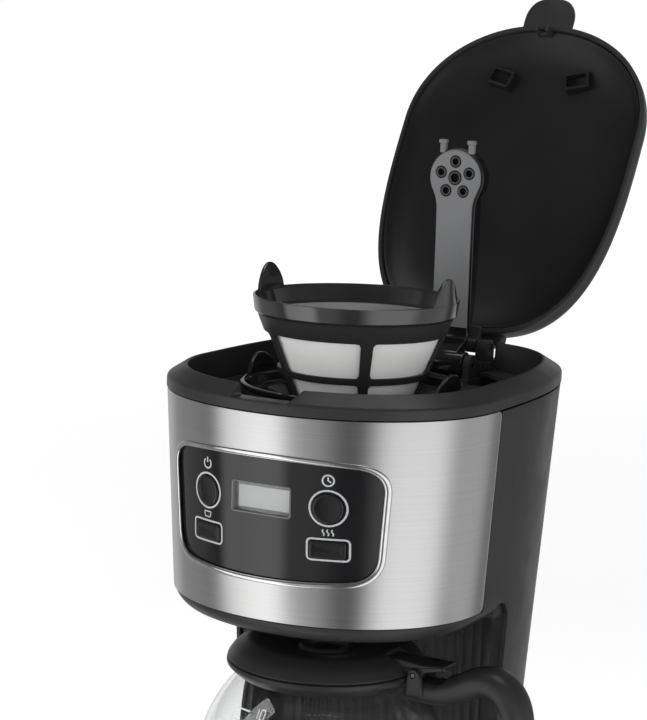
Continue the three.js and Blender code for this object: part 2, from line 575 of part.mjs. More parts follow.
function buildDripValve() {
  piece("drip_valve", turned([[0, 176], [9.6, 176], [10, 177], [10, 178.6], [2.5, 178.6], [2.5, 203], [6.6, 203],
    [6.6, 205], [2.5, 205], [2.5, 246.2], [0, 246.2]], outlet, 20), whitePlastic);
  piece("drip_seal", turned([[0, 246.5], [8.4, 246.5], [8.8, 247.4], [8.4, 248.4], [0, 248.4]], outlet, 20), silicone);
  const turns = 5;
  const perTurn = 6;
  const coil = Array.from({ length: turns * perTurn + 1 }, (_, i) => {
    const angle = (2 * Math.PI * i) / perTurn;
    return [outlet.x + 6 * Math.cos(angle), outlet.y + 6 * Math.sin(angle), 206.4 + (30.6 * i) / (turns * perTurn)];
  });
  piece("drip_spring", tube(coil, 0.7, turns * perTurn, 4), zinc);
}

// ---------- carafe ----------
function sphereRadiusAt(z, radius = carafeSphere.radius) {
  return Math.sqrt(radius ** 2 - (z - carafeSphere.z) ** 2);
}

function buildCarafe() {
  const outerLevels = [56, 72, 98, 122, 138, 149, 156];
  const outer = outerLevels.map((z) => [sphereRadiusAt(z), z]);
  const inner = outerLevels.map((z) => [sphereRadiusAt(z) - 2.2, z + (z - carafeSphere.z) * -0.01]).toReversed();
  piece("carafe_glass", turned([[0, 46.5], [50, 46.5], [54.5, 48.2], ...outer, [44.3, 161.4], [42.2, 161.4], ...inner,
    [52, 51.2], [48, 48.8], [0, 48.8]], carafeAxis), glass);
  piece("carafe_collar", turned([[49.2, 153.6], [51, 154.2], [56.8, 158.2], [57, 160.6], [54, 161.4], [45, 161.4],
    [45, 157.2], [48.4, 153.8]], carafeAxis), satinBlack);

  const path = new THREE.CatmullRomCurve3([[57.8, 154], [72, 154], [86, 156], [99, 162.5], [111, 164], [120, 155],
    [124, 138], [122.5, 118], [116, 98], [107, 82], [100, 74]].map(([x, z]) => new THREE.Vector3(x, 0, z)));
  const steps = 15;
  const sides = 8;
  const rings = [];
  for (let i = 0; i <= steps; i++) {
    const t = i / steps;
    const p = path.getPointAt(t);
    const d = path.getTangentAt(t);
    const thick = 7 + 1.4 * Math.sin(Math.PI * t);
    const wide = 9 + 2.5 * Math.sin(Math.PI * t);
    rings.push(Array.from({ length: sides }, (_, j) => {
      const a = (2 * Math.PI * j) / sides;
      const n = thick * Math.cos(a);
      return [p.x - d.z * n, carafeAxis.y + wide * Math.sin(a), p.z + d.x * n];
    }));
  }
  const cap = Array.from({ length: sides - 2 }, (_, j) => [0, j + 1, j + 2]);
  const grip = skin(rings, false, cap);
  const ear = (side) => {
    const [y0, y1] = [side * 8.4, side * 11].map((y) => y + carafeAxis.y).sort((a, b) => a - b);
    return join(box(58.2, 66, y0, y1, 152, 163.5), rodY(y0, y1, leverPin.x, leverPin.z, 3.4, 14));
  };
  const clearance = join(box(50, 80, carafeAxis.y - 8.4, carafeAxis.y + 8.4, 159.4, 175));
  const handle = cut(join(cut(grip, clearance), ear(1), ear(-1)), rodY(-40, 40, leverPin.x, leverPin.z, 1.9, 10));
  piece("carafe_handle", handle, satinBlack);
  piece("lever_pin", rodY(carafeAxis.y - 10.8, carafeAxis.y + 10.8, leverPin.x, leverPin.z, 1.5, 10), zinc);
  piece("collar_screw", rodX(-60.6, -57.4, carafeAxis.y, 159.4, 2.8, 12), zinc);
}

function buildCarafeLid() {
  const dome = turned([[6, 163.4], [12.4, 166.2], [12.8, 169.8], [15.2, 169.8], [15.8, 167.4], [39, 173],
    [45, 172.4], [53, 168.4], [56.8, 161.8], [40.6, 161.8], [40.6, 153], [38.8, 153],
    [38.8, 169.6], [16, 165], [6, 161.4]], carafeAxis);
  const notch = box(42.9, 70, carafeAxis.y - 8.3, carafeAxis.y + 8.3, 163.5, 180);
  piece("carafe_lid", cut(dome, notch), satinBlack);
  const side = polygon([[43.2, 163.9], [56, 163.9], [58.4, 160.6], [65, 160.6], [67, 165], [80, 168.5], [80.5, 171],
    [66, 170.4], [43.2, 170.4]]);
  const lever = prismY(side, carafeAxis.y - 8, carafeAxis.y + 8);
  piece("lid_lever", cut(lever, rodY(-40, 40, leverPin.x, leverPin.z, 1.9, 10)), satinBlack);
}

buildBase();
buildHeating();
buildTower();
buildHead();
buildPanel();
buildHinge();
buildLid();
buildSpoutArm();
buildFilter();
buildBasket();
buildDripValve();
buildCarafe();
buildCarafeLid();

export default model;
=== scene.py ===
"""Looks of the drip coffee maker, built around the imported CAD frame.

Shapes are worked out in the machine's own millimetres: x = 0 is its middle, the front is -Y, z = 0 is the
worktop, and the carafe's axis is 4 mm in front of y = 0. Every piece then goes into the row frame in
metres. A profile is a list of points: (radius, z) for a turned piece, and (inset from the body's outline, z)
for a swept one. A third number on a point is how far the rounding of that corner reaches.
"""

import json
import math

import bmesh
import bpy
from mathutils import Matrix, Vector


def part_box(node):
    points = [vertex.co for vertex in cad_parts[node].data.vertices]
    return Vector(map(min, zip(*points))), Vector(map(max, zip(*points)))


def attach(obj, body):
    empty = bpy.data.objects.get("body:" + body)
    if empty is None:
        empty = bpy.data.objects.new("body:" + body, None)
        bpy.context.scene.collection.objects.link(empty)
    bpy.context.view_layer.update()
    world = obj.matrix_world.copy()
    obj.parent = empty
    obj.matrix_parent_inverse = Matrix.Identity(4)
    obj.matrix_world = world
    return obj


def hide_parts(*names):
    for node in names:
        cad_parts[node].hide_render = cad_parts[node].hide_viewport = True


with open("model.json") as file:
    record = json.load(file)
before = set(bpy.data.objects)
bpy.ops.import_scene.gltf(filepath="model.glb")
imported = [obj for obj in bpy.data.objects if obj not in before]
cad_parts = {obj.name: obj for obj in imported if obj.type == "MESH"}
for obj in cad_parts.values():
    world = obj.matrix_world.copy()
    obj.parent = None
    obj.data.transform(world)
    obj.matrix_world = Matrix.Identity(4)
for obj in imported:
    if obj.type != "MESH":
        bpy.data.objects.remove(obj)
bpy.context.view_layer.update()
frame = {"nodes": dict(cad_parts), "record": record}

# ---------- driving dimensions, mm ----------
MM = 0.001
CARAFE = (0.0, -4.0)
BASKET = (0.0, 18.0)
HEAD = {"half": 100.0, "front": 87.0, "rear": 168.0}
BASE = {"half": 95.0, "front": 92.0, "rear": 159.6, "top": 44.0}
OUTLINE_POWER = {"front": 2.06, "rear": 3.0}
TAPER_PER_MM = 0.000568
BAND = {"bottom": 200.6, "top": 316.9}
CREST_Z = 330.0
SEAM_Y = 7.6
WAIST_Z = 120.0
LID = {"half": 83.4, "front": 73.3, "rear": 147.4, "edge": 325.3, "open": 120.3}
LID_PIVOT = (156.0, 326.4)
ARM = {"pivot": (134.0, 318.0), "head_y": 20.6, "radius": 17.0, "neck": 11.7, "open": 90.0}
FILTER_LIFT = 48.0
PANEL = {"top": 292.3, "bottom": 225.2, "top_half": 66.6, "bottom_half": 62.2, "corner": 14.0, "bow": 0.1}
PANEL_INSET = 1.6
DISPLAY = {"x": -0.5, "z": 268.7, "width": 37.0, "height": 17.5}
BUTTON = {"x": 38.0, "round_z": 267.7, "radius": 8.5, "rect_z": 244.6, "width": 20.0, "height": 9.5}
BUTTON_YAW = 19.7
BAND_TILT = 2.8
SPHERE = {"radius": 73.0, "z": 98.0}
LEVER_PIN = (62.0, 163.6)
DRIP_AXIS = (0.0, 8.0)
SEAM_GAP = 0.4  # on each side of the seam between the steel band and the rear housing
CLEARANCE = 0.3  # round the panel, the buttons and the band
HINGE_HOLE, LEVER_HOLE = 2.4, 1.9  # radii
WELD_DISTANCE = 2e-6  # metres
PIECE_SHARP, SOFT_ANGLE = 32, 50  # degrees


def middle(node):
    low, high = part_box(node)
    return (low + high) / 2


ORIGIN = Vector((middle("warming_plate").x, middle("warming_plate").y - CARAFE[1] * MM, 0))


# ---------- meshes ----------
def linked(name, data):
    """A new object in the scene."""
    thing = bpy.data.objects.new(name, data)
    bpy.context.scene.collection.objects.link(thing)
    return thing


def solid(rings, cyclic=False, place=None):
    """A skin over rings of equally many points in mm; cyclic joins the last ring to the first."""
    count = len(rings[0])
    points = [Vector(p) for ring in rings for p in ring]
    if place is not None:
        points = [place @ p for p in points]
    faces = []
    for i in range(len(rings) if cyclic else len(rings) - 1):
        after = (i + 1) % len(rings)
        for j in range(count):
            k = (j + 1) % count
            faces.append((i * count + j, i * count + k, after * count + k, after * count + j))
    if not cyclic:
        last = (len(rings) - 1) * count
        faces.append(tuple(reversed(range(count))))
        faces.append(tuple(range(last, last + count)))
    mesh = bpy.data.meshes.new("solid")
    mesh.from_pydata([ORIGIN + p * MM for p in points], [], faces)
    tidy(mesh)
    return linked("solid", mesh)


def tidy(mesh):
    """Welds points that meet, drops flat faces and turns the rest outwards."""
    shape = bmesh.new()
    shape.from_mesh(mesh)
    bmesh.ops.remove_doubles(shape, verts=shape.verts, dist=WELD_DISTANCE)
    bmesh.ops.dissolve_degenerate(shape, edges=shape.edges, dist=WELD_DISTANCE / 2)
    loose = [edge for edge in shape.edges if not edge.link_faces]
    bmesh.ops.delete(shape, geom=loose, context="EDGES")
    bmesh.ops.recalc_face_normals(shape, faces=shape.faces)
    if shape.calc_volume(signed=True) < 0:
        bmesh.ops.reverse_faces(shape, faces=shape.faces)
    shape.to_mesh(mesh)
    shape.free()


def settle(piece):
    """Applies the piece's modifiers."""
    evaluated = piece.evaluated_get(bpy.context.evaluated_depsgraph_get())
    mesh = bpy.data.meshes.new_from_object(evaluated)
    piece.modifiers.clear()
    piece.data = mesh
    tidy(mesh)


def combine(piece, tools, operation):
    for tool in tools:
        modifier = piece.modifiers.new("combine", "BOOLEAN")
        modifier.operation = operation
        modifier.solver = "EXACT"
        modifier.object = tool
        bpy.context.view_layer.update()
        settle(piece)
        bpy.data.objects.remove(tool)
    return piece


def cut(piece, *tools):
    return combine(piece, tools, "DIFFERENCE")


def joined(piece, *others):
    return combine(piece, others, "UNION")


def common(piece, *others):
    return combine(piece, others, "INTERSECT")


def merged(parts):
    """One piece from several separate closed solids."""
    shape = bmesh.new()
    for part in parts:
        shape.from_mesh(part.data)
        bpy.data.objects.remove(part)
    mesh = bpy.data.meshes.new("merged")
    shape.to_mesh(mesh)
    shape.free()
    return linked("merged", mesh)


def soften(piece, width):
    """Rounds the piece's hard edges by width mm."""
    modifier = piece.modifiers.new("soften", "BEVEL")
    modifier.width = width * MM
    modifier.segments = 2
    modifier.limit_method = "ANGLE"
    modifier.angle_limit = math.radians(SOFT_ANGLE)
    modifier.use_clamp_overlap = True
    settle(piece)
    return piece


# ---------- outlines ----------
def rounded(points, reach, steps=6, closed=True):
    """Rounds the corners of a 2D outline; a third number on a point sets how far its own curve reaches."""
    out = []
    for i, point in enumerate(points):
        own = point[2] if len(point) > 2 else reach
        here = Vector(point[:2])
        if own == 0 or (not closed and i in (0, len(points) - 1)):
            out.append(here)
            continue
        before = Vector(points[i - 1][:2]) - here
        after = Vector(points[(i + 1) % len(points)][:2]) - here
        start = here + before.normalized() * min(own, before.length * 0.49)
        end = here + after.normalized() * min(own, after.length * 0.49)
        for k in range(steps + 1):
            t = k / steps
            out.append(start * (1 - t) ** 2 + here * 2 * t * (1 - t) + end * t ** 2)
    return [tuple(p) for p in out]


def full_turn(count):
    """Evenly spaced angles round a circle."""
    return [2 * math.pi * i / count for i in range(count)]


def circle(u, v, radius, count=48):
    return [(u + radius * math.cos(a), v + radius * math.sin(a)) for a in full_turn(count)]


def rectangle(u, v, width, height, reach, steps=6):
    w, h = width / 2, height / 2
    return rounded([(u - w, v - h), (u + w, v - h), (u + w, v + h), (u - w, v + h)], reach, steps)


def shrunk(outline, amount):
    """The outline moved inwards by amount."""
    area = sum(a[0] * b[1] - b[0] * a[1] for a, b in zip(outline, outline[1:] + outline[:1]))
    side = 1 if area > 0 else -1
    out = []
    for i, point in enumerate(outline):
        along = Vector(outline[(i + 1) % len(outline)]) - Vector(outline[i - 1])
        along = along.normalized() if along.length > 0 else Vector((1, 0))
        out.append((point[0] - side * along.y * amount, point[1] + side * along.x * amount))
    return out


def resampled(outline, count):
    """The closed outline as count evenly spaced points."""
    points = [Vector(p) for p in outline] + [Vector(outline[0])]
    lengths = [(b - a).length for a, b in zip(points, points[1:])]
    step = sum(lengths) / count
    out, travelled, i = [], 0.0, 0
    for k in range(count):
        while travelled + lengths[i] < k * step and i < len(lengths) - 1:
            travelled += lengths[i]
            i += 1
        share = (k * step - travelled) / lengths[i] if lengths[i] else 0
        out.append(tuple(points[i].lerp(points[i + 1], share)))
    return out


AXES = {
    "x": lambda u, v, d: (d, u, v),
    "y": lambda u, v, d: (u, d, v),
    "z": lambda u, v, d: (u, v, d),
}


def slab(outline, low, high, axis="z", soft=0.0, place=None):
    """An outline pushed out along an axis, with its edges rounded by soft mm."""
    at = AXES[axis]
    if soft == 0:
        levels = [(0, low), (0, high)]
    else:
        turns = [math.radians(a) for a in (0, 30, 60, 90)]
        start = [(soft * (1 - math.sin(a)), low + soft * (1 - math.cos(a))) for a in turns]
        end = [(inset, low + high - depth) for inset, depth in reversed(start)]
        levels = start + end
    rings = [[at(u, v, depth) for u, v in (shrunk(outline, inset) if inset else outline)]
             for inset, depth in levels]
    return solid(rings, place=place)


def brick(x0, x1, y0, y1, z0, z1, soft=0.0, place=None):
    outline = rectangle((x0 + x1) / 2, (y0 + y1) / 2, x1 - x0, y1 - y0, soft * 1.6, 4)
    return slab(outline, z0, z1, "z", soft, place)


def rod(low, high, u, v, radius, axis, soft=0.0, count=32, place=None):
    return slab(circle(u, v, radius, count), low, high, axis, soft, place)


def turned(profile, centre, segments=128, place=None):
    """A closed profile of (radius, z) points turned about a vertical axis."""
    turns = full_turn(segments)
    rings = [[(centre[0] + r * math.sin(a), centre[1] - r * math.cos(a), z) for a in turns] for r,
             z in profile]
    return solid(rings, cyclic=True, place=place)


def strip(path, half, lift, surface, closed=True, sink=0.12):
    """A flat raised line of the given half width along a 2D path on a surface(u, v, lift)."""
    rings = []
    for i, point in enumerate(path):
        before = path[i - 1] if closed or i > 0 else path[i]
        after = path[(i + 1) % len(path)] if closed or i < len(path) - 1 else path[i]
        along = (Vector(after) - Vector(before)).normalized()
        side = Vector((-along.y, along.x)) * half
        here = Vector(point)
        left, right = here + side, here - side
        rings.append([surface(*left, -sink), surface(*left, lift), surface(*right, lift),
                      surface(*right, -sink)])
    return solid(rings, cyclic=closed)


# ---------- the body's outline ----------
def outline_point(angle, half, front, rear):
    """A point of the egg-shaped plan; angle 0 is the front, a quarter turn is +X."""
    s, c = math.sin(angle), math.cos(angle)
    power = 2 / OUTLINE_POWER["front" if c > 0 else "rear"]
    y = -front * abs(c) ** power if c > 0 else rear * abs(c) ** power
    return math.copysign(half * abs(s) ** power, s), y


def body_scale(z):
    """How wide the body is at a height, as a share of its width at the top of the steel band."""
    if z >= WAIST_Z:
        return 1 - TAPER_PER_MM * (BAND["top"] - min(z, BAND["top"]))
    waist = 1 - TAPER_PER_MM * (BAND["top"] - WAIST_Z)
    flare = min((WAIST_Z - z) / (WAIST_Z - BASE["top"]), 1)
    return waist + (BASE["half"] / HEAD["half"] - waist) * flare ** 2


def body_point(angle, inset, z):
    s = body_scale(z)
    x, y = outline_point(angle, HEAD["half"] * s - inset, HEAD["front"] * s - inset,
                         HEAD["rear"] * s - inset)
    return x, y, z


def front_face(x, z, lift, inset=0.0):
    """The point of the body's front over x and z, lift mm proud of it."""
    s = body_scale(z)
    half, front = HEAD["half"] * s - inset, HEAD["front"] * s - inset
    power = OUTLINE_POWER["front"]
    y = -front * max(1 - (abs(x) / half) ** power, 0) ** (1 / power)
    slope = front * (abs(x) / half) ** (power - 1) / half
    turn = math.atan(slope)
    return (x + math.copysign(lift * math.sin(turn), x), y - lift * math.cos(turn), z)


def panel_face(x, z, lift):
    return front_face(x, z, lift, PANEL_INSET)


def angle_at(y):
    """The angle in degrees at which the outline's rear part is y behind its widest place."""
    return 90 + math.degrees(math.asin((y / HEAD["rear"]) ** (OUTLINE_POWER["rear"] / 2)))


def even_angles(start, stop, count, fine=8):
    """Angles in radians whose points lie evenly spaced along the outline."""
    turns = [math.radians(start + (stop - start) * i / (count * fine)) for i in range(count * fine + 1)]
    points = [Vector(outline_point(a, HEAD["half"], HEAD["front"], HEAD["rear"])) for a in turns]
    travelled = [0.0]
    for a, b in zip(points, points[1:]):
        travelled.append(travelled[-1] + (b - a).length)
    out, i = [], 0
    for k in range(count + 1):
        goal = travelled[-1] * k / count
        while i < len(turns) - 2 and travelled[i + 1] < goal:
            i += 1
        share = (goal - travelled[i]) / (travelled[i + 1] - travelled[i])
        out.append(turns[i] + (turns[i + 1] - turns[i]) * share)
    return out


def body_sweep(profile, start=0, stop=360, segments=192, place=body_point):
    """A closed profile of (inset, z) points swept along the body's outline between two angles."""
    whole = stop - start == 360
    angles = even_angles(start, stop, segments)
    if whole:
        angles.pop()
    rings = [[place(a, inset, z) for inset, z in profile] for a in angles]
    return solid(rings, cyclic=whole)


def upright(outer, inner, low, high):
    """The profile of a plain wall between two insets and two heights."""
    return [(outer, low), (outer, high), (inner, high), (inner, low)]


def front_tool(outline, back=-30):
    """A cutter that goes through the front of the body."""
    return slab(outline, -130, back, "y")


def panel_outline(margin, count=200):
    """The control panel's outline, grown by margin; its top and bottom edges bow outwards."""
    corners = [
        (-PANEL["bottom_half"] - margin, PANEL["bottom"] - margin),
        (PANEL["bottom_half"] + margin, PANEL["bottom"] - margin),
        (PANEL["top_half"] + margin, PANEL["top"] + margin),
        (-PANEL["top_half"] - margin, PANEL["top"] + margin),
    ]
    middle_z = (PANEL["top"] + PANEL["bottom"]) / 2
    outline = resampled(rounded(corners, PANEL["corner"] + margin, 16), count)
    return [(x, middle_z + (z - middle_z) * (1 - PANEL["bow"] * (x / PANEL["top_half"]) ** 2)) for x,
            z in outline]


def swing(pivot, degrees):
    """A turn about an X axis through (y, z); positive opens backwards."""
    there = Matrix.Translation((0, pivot[0], pivot[1]))
    return there @ Matrix.Rotation(-math.radians(degrees), 4, "X") @ there.inverted()


# ---------- materials ----------
class Nodes:
    """Short ways to add nodes to a tree and to wire them."""

    def __init__(self, tree):
        self.tree = tree

    def wire(self, node, inputs):
        """Gives each named input a value or another node's output."""
        for key, value in inputs.items():
            if isinstance(value, bpy.types.NodeSocket):
                self.tree.links.new(value, node.inputs[key])
            else:
                node.inputs[key].default_value = value
        return node

    def node(self, kind, inputs=None, **settings):
        made = self.tree.nodes.new("ShaderNode" + kind)
        for key, value in settings.items():
            setattr(made, key, value)
        return self.wire(made, inputs or {})

    def spread(self, source, low, high, start=0.3, stop=0.7, **settings):
        """Stretches what lies between start and stop to reach from low to high."""
        ends = {"Value": source, "From Min": start, "From Max": stop, "To Min": low, "To Max": high}
        return self.node("MapRange", ends, **settings).outputs["Result"]

    def maths(self, operation, *values):
        return self.node("Math", dict(enumerate(values)), operation=operation).outputs["Value"]

    def vectors(self, operation, *values, output="Vector"):
        return self.node("VectorMath", dict(enumerate(values)), operation=operation).outputs[output]


class Finish(Nodes):
    """A node material with one Principled shader."""

    def __init__(self, name):
        self.material = bpy.data.materials.new(name)
        self.material.use_nodes = True
        super().__init__(self.material.node_tree)
        self.shader = self.tree.nodes["Principled BSDF"]
        self.place = self.node("TexCoord").outputs["Object"]

    def set(self, **values):
        self.wire(self.shader, {key.replace("_", " "): value for key, value in values.items()})
        return self

    def noise(self, scale, detail=2.0, stretch=(1, 1, 1)):
        mapping = self.node("Mapping", {"Vector": self.place, "Scale": stretch})
        inputs = {"Vector": mapping.outputs["Vector"], "Scale": scale, "Detail": detail}
        return self.node("TexNoise", inputs).outputs["Fac"]

    def mix(self, factor, first, second):
        inputs = {"Factor": factor, "A": (*first, 1), "B": (*second, 1)}
        return self.node("Mix", inputs, data_type="RGBA").outputs["Result"]

    def cloudy(self, tone, dark, light, wear, rough):
        """Lets the colour follow the noise tone, and the roughness the noise wear."""
        self.set(Base_Color=self.mix(self.spread(tone, 0, 1), dark, light),
                 Roughness=self.spread(wear, *rough))

    def bumped(self, height, distance):
        """Wires the bump and hands over the finished material."""
        self.set(Normal=self.node("Bump", {"Distance": distance, "Height": height}).outputs["Normal"])
        return self.material


def moulded(name, dark, light, rough, grain=2600, depth=1.2e-5):
    """Moulded plastic with a fine spark-eroded grain and slow changes of tone and sheen."""
    finish = Finish(name).set(IOR=1.5, Specular_IOR_Level=0.25)
    finish.cloudy(finish.noise(14, 3), dark, light, finish.noise(40, 4), rough)
    return finish.bumped(finish.noise(grain, 2), depth)


def polished(name, dark, light, rough, gloss=0.55):
    """Polished plastic: a faint swirl of fine wiping marks and a little unevenness from the mould."""
    finish = Finish(name).set(IOR=1.5, Specular_IOR_Level=gloss)
    finish.cloudy(finish.noise(20, 2), dark, light, finish.noise(260, 4, (1, 7, 2)), rough)
    return finish.bumped(finish.noise(55, 1), 1.6e-5)


def brushed(name, dark, light, rough, stretch=(7, 7, 3800)):
    """Sheet steel with fine brush lines round the body."""
    finish = Finish(name).set(Metallic=1.0, Anisotropic=0.8, Anisotropic_Rotation=0.25)
    lines = finish.noise(1.0, 5, stretch)
    coarse = finish.noise(1.0, 3, tuple(s * 0.28 for s in stretch))
    both = finish.maths("ADD", finish.maths("MULTIPLY", lines, 0.8), finish.maths("MULTIPLY", coarse, 0.2))
    tangent = finish.node("Tangent", direction_type="RADIAL", axis="Z")
    finish.set(
        Base_Color=finish.mix(finish.spread(both, 0, 1, 0.35, 0.65), dark, light),
        Roughness=finish.spread(both, *rough), Tangent=tangent.outputs["Tangent"])
    return finish.bumped(both, 2.5e-6)


def plated(name, dark, light, rough, scale=420):
    """Bare or plated metal with an even grain."""
    finish = Finish(name).set(Metallic=1.0)
    finish.cloudy(finish.noise(scale, 5), dark, light, finish.noise(scale * 2, 3), rough)
    return finish.bumped(finish.noise(scale * 4, 2), 1e-5)


def wire_cloth(name, metallic, dark, light):
    """Fine woven steel wire about the filter's axis: wires run round the cone and down it."""
    finish = Finish(name).set(Metallic=metallic, Alpha=0.85)
    axis = ORIGIN + Vector((*BASKET, 0)) * MM
    split = finish.node("SeparateXYZ", {"Vector": finish.vectors("SUBTRACT", finish.place, axis)}).outputs
    around = finish.maths("ARCTAN2", split["Y"], split["X"])
    wires_round = 520
    wires_per_metre = 1700
    warp = finish.maths("SINE", finish.maths("MULTIPLY", around, wires_round))
    weft = finish.maths("SINE", finish.maths("MULTIPLY", split["Z"], 2 * math.pi * wires_per_metre))
    weave = finish.maths("MULTIPLY", warp, weft)
    tone = finish.maths("ADD", finish.spread(weave, 0.25, 0.75, -1, 1),
                        finish.spread(finish.noise(24, 3), -0.25, 0.25))
    finish.set(Base_Color=finish.mix(tone, dark, light), Roughness=finish.spread(weave, 0.34, 0.52, -1, 1))
    return finish.bumped(weave, 5e-5)


def clear(name, tint, rough=0.0, ior=1.47):
    """Clear glass or plastic."""
    finish = Finish(name).set(Transmission_Weight=1.0, IOR=ior, Roughness=rough, Base_Color=(*tint, 1))
    return finish.bumped(finish.noise(30, 1), 2e-6)


def liquid_crystal(name, dark, light):
    """The pale face of a display, slightly lit."""
    finish = Finish(name).set(
        IOR=1.5, Roughness=0.3, Emission_Strength=0.03, Emission_Color=(0.9, 0.95, 0.95, 1))
    finish.set(Base_Color=finish.mix(finish.spread(finish.noise(38, 2), 0, 1), dark, light))
    return finish.bumped(finish.noise(5200, 1), 4e-6)


FINISHES = {  # for most: the dark and the light tone, and the lowest and the highest roughness
    "satin_black": (moulded, (0.018, 0.018, 0.019), (0.024, 0.024, 0.025), (0.3, 0.42)),
    "gloss_black": (polished, (0.006, 0.006, 0.007), (0.009, 0.009, 0.01), (0.07, 0.13)),
    "brushed_steel": (brushed, (0.57, 0.57, 0.57), (0.66, 0.66, 0.655), (0.32, 0.4)),
    "dark_grey": (moulded, (0.135, 0.137, 0.14), (0.15, 0.152, 0.156), (0.36, 0.46)),
    "display_grey": (clear, (0.95, 0.96, 0.96), 0.02, 1.49),
    "rubber": (moulded, (0.018, 0.018, 0.018), (0.028, 0.027, 0.026), (0.7, 0.85), 1500, 4e-5),
    "zinc": (plated, (0.42, 0.43, 0.44), (0.6, 0.6, 0.6), (0.28, 0.42)),
    "cast_aluminium": (plated, (0.45, 0.45, 0.45), (0.62, 0.62, 0.61), (0.4, 0.55), 260),
    "white_plastic": (moulded, (0.6, 0.59, 0.55), (0.68, 0.67, 0.63), (0.38, 0.5)),
    "silicone": (moulded, (0.5, 0.48, 0.42), (0.6, 0.58, 0.52), (0.5, 0.62), 900, 1e-5),
    "board_green": (polished, (0.012, 0.07, 0.028), (0.02, 0.1, 0.04), (0.25, 0.4)),
    "non_stick": (moulded, (0.02, 0.019, 0.018), (0.034, 0.032, 0.03), (0.36, 0.5), 1800, 3e-5),
    "filter_mesh": (wire_cloth, 0.0, (0.8, 0.8, 0.79), (1.0, 1.0, 0.99)),
    "carafe_glass": (clear, (0.985, 0.995, 0.99)),
    # looks of single pieces, beside the slots' own
    "lid_lining": (polished, (0.007, 0.007, 0.0075), (0.01, 0.01, 0.0105), (0.34, 0.42), 0.22),
    "filter_rim_gloss": (polished, (0.012, 0.012, 0.013), (0.018, 0.018, 0.019), (0.09, 0.15), 1.0),
    "frame_steel": (plated, (0.62, 0.62, 0.62), (0.74, 0.74, 0.74), (0.13, 0.2), 160),
    "grey_print": (moulded, (0.34, 0.35, 0.36), (0.42, 0.43, 0.44), (0.42, 0.5), 2600, 4e-6),
    "pale_print": (moulded, (0.66, 0.67, 0.67), (0.74, 0.75, 0.75), (0.5, 0.6), 2600, 4e-6),
    # painted shade: a near-black look for the seats inside the nozzle holes, in place of the shade in the
    # holes
    "well_black": (moulded, (0.002, 0.002, 0.002), (0.004, 0.004, 0.004), (0.7, 0.85)),
    "nozzle_lip": (moulded, (0.05, 0.051, 0.052), (0.062, 0.063, 0.065), (0.36, 0.46)),
    "lcd_face": (liquid_crystal, (0.5, 0.51, 0.505), (0.6, 0.61, 0.605)),
    # painted shade: a darker, more metallic copy of the filter mesh, standing in for the shade inside the
    # cone
    "filter_mesh_inside": (wire_cloth, 0.6, (0.3, 0.3, 0.29), (0.52, 0.52, 0.51)),
    "blackened_steel": (plated, (0.05, 0.05, 0.052), (0.09, 0.09, 0.092), (0.2, 0.32)),
}
LOOKS = {name: make(name, *values) for name, (make, *values) in FINISHES.items()}
BLACK_PINS = ("hinge_pin", "spout_pin", "lever_pin")


def place_piece(name, piece, slot, body, *nodes, look=None, sharp=PIECE_SHARP):
    """Gives a finished piece its name, look and body, and hides the CAD nodes that it stands for."""
    piece.name = name
    piece.data.materials.clear()
    piece.data.materials.append(LOOKS[look or slot])
    for polygon in piece.data.polygons:
        polygon.use_smooth = True
    piece.data.set_sharp_from_angle(angle=math.radians(sharp))
    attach(piece, body)
    if nodes:
        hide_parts(*nodes)


def second_look(piece, look, chosen):
    """Gives another look to the faces that chosen(centre, normal) picks."""
    piece.data.materials.append(LOOKS[look])
    for polygon in piece.data.polygons:
        if chosen(polygon.center, polygon.normal):
            polygon.material_index = 1


# ---------- head ----------
def make_band():
    corner = 4.0
    end = angle_at(SEAM_Y - SEAM_GAP)
    middle_z = (BAND["top"] + BAND["bottom"]) / 2
    half = (BAND["top"] - BAND["bottom"]) / 2 - CLEARANCE

    def place(angle, inset, z):
        """Rounds the band's four corners by lowering its ends."""
        x, y, _ = body_point(angle, inset, z)
        from_end = (SEAM_Y - SEAM_GAP) * body_scale(z) - y
        cut_off = corner - math.sqrt(corner ** 2 - min(max(corner - from_end, 0), corner) ** 2)
        return body_point(angle, inset, middle_z + (z - middle_z) * (1 - cut_off / half))

    profile = rounded([
        (0, middle_z - half), (0, middle_z + half), (1.2, middle_z + half), (1.2, middle_z - half)], 0.4, 3)
    band = body_sweep(profile, -end, end, 420, place)
    band = cut(band, front_tool(panel_outline(0)))
    place_piece("steel_band_sheet", band, "brushed_steel", "machine", "steel_band")

    liner = body_sweep(upright(1.5, 3.5, 200.9, 312), -end, end, 120)
    liner = cut(liner, front_tool(panel_outline(CLEARANCE)))
    before, behind = angle_at(SEAM_Y - 3), angle_at(SEAM_Y + 3)
    seam_covers = [body_sweep(upright(2.8, 3.4, 201.4, 311.6), *ends, 8)
                   for ends in ((before, behind), (-behind, -before))]
    liner = joined(liner, *seam_covers)
    place_piece("head_liner", liner, "satin_black", "machine", "head_shell")


def make_panel_frame():
    """The bright raised frame, a half-round bead along the panel's edge."""
    path = panel_outline(1.7, 220)
    half, proud, count = 1.45, 1.1, 10
    rings = []
    for i, point in enumerate(path):
        along = (Vector(path[(i + 1) % len(path)]) - Vector(path[i - 1])).normalized()
        side = Vector((along.y, -along.x))
        ring = []
        for k in range(count + 1):
            turn = math.pi * k / count
            place = Vector(point) + side * half * math.cos(turn)
            ring.append(front_face(*place, proud * math.sin(turn) ** 0.8 - 0.35))
        for share in (-0.8, 0.8):
            ring.append(front_face(*(Vector(point) + side * half * share), -1.1))
        rings.append(ring)
    frame_bead = solid(rings, cyclic=True)
    place_piece("panel_frame", frame_bead, "brushed_steel", "machine", "panel_trim", look="frame_steel",
                sharp=50)


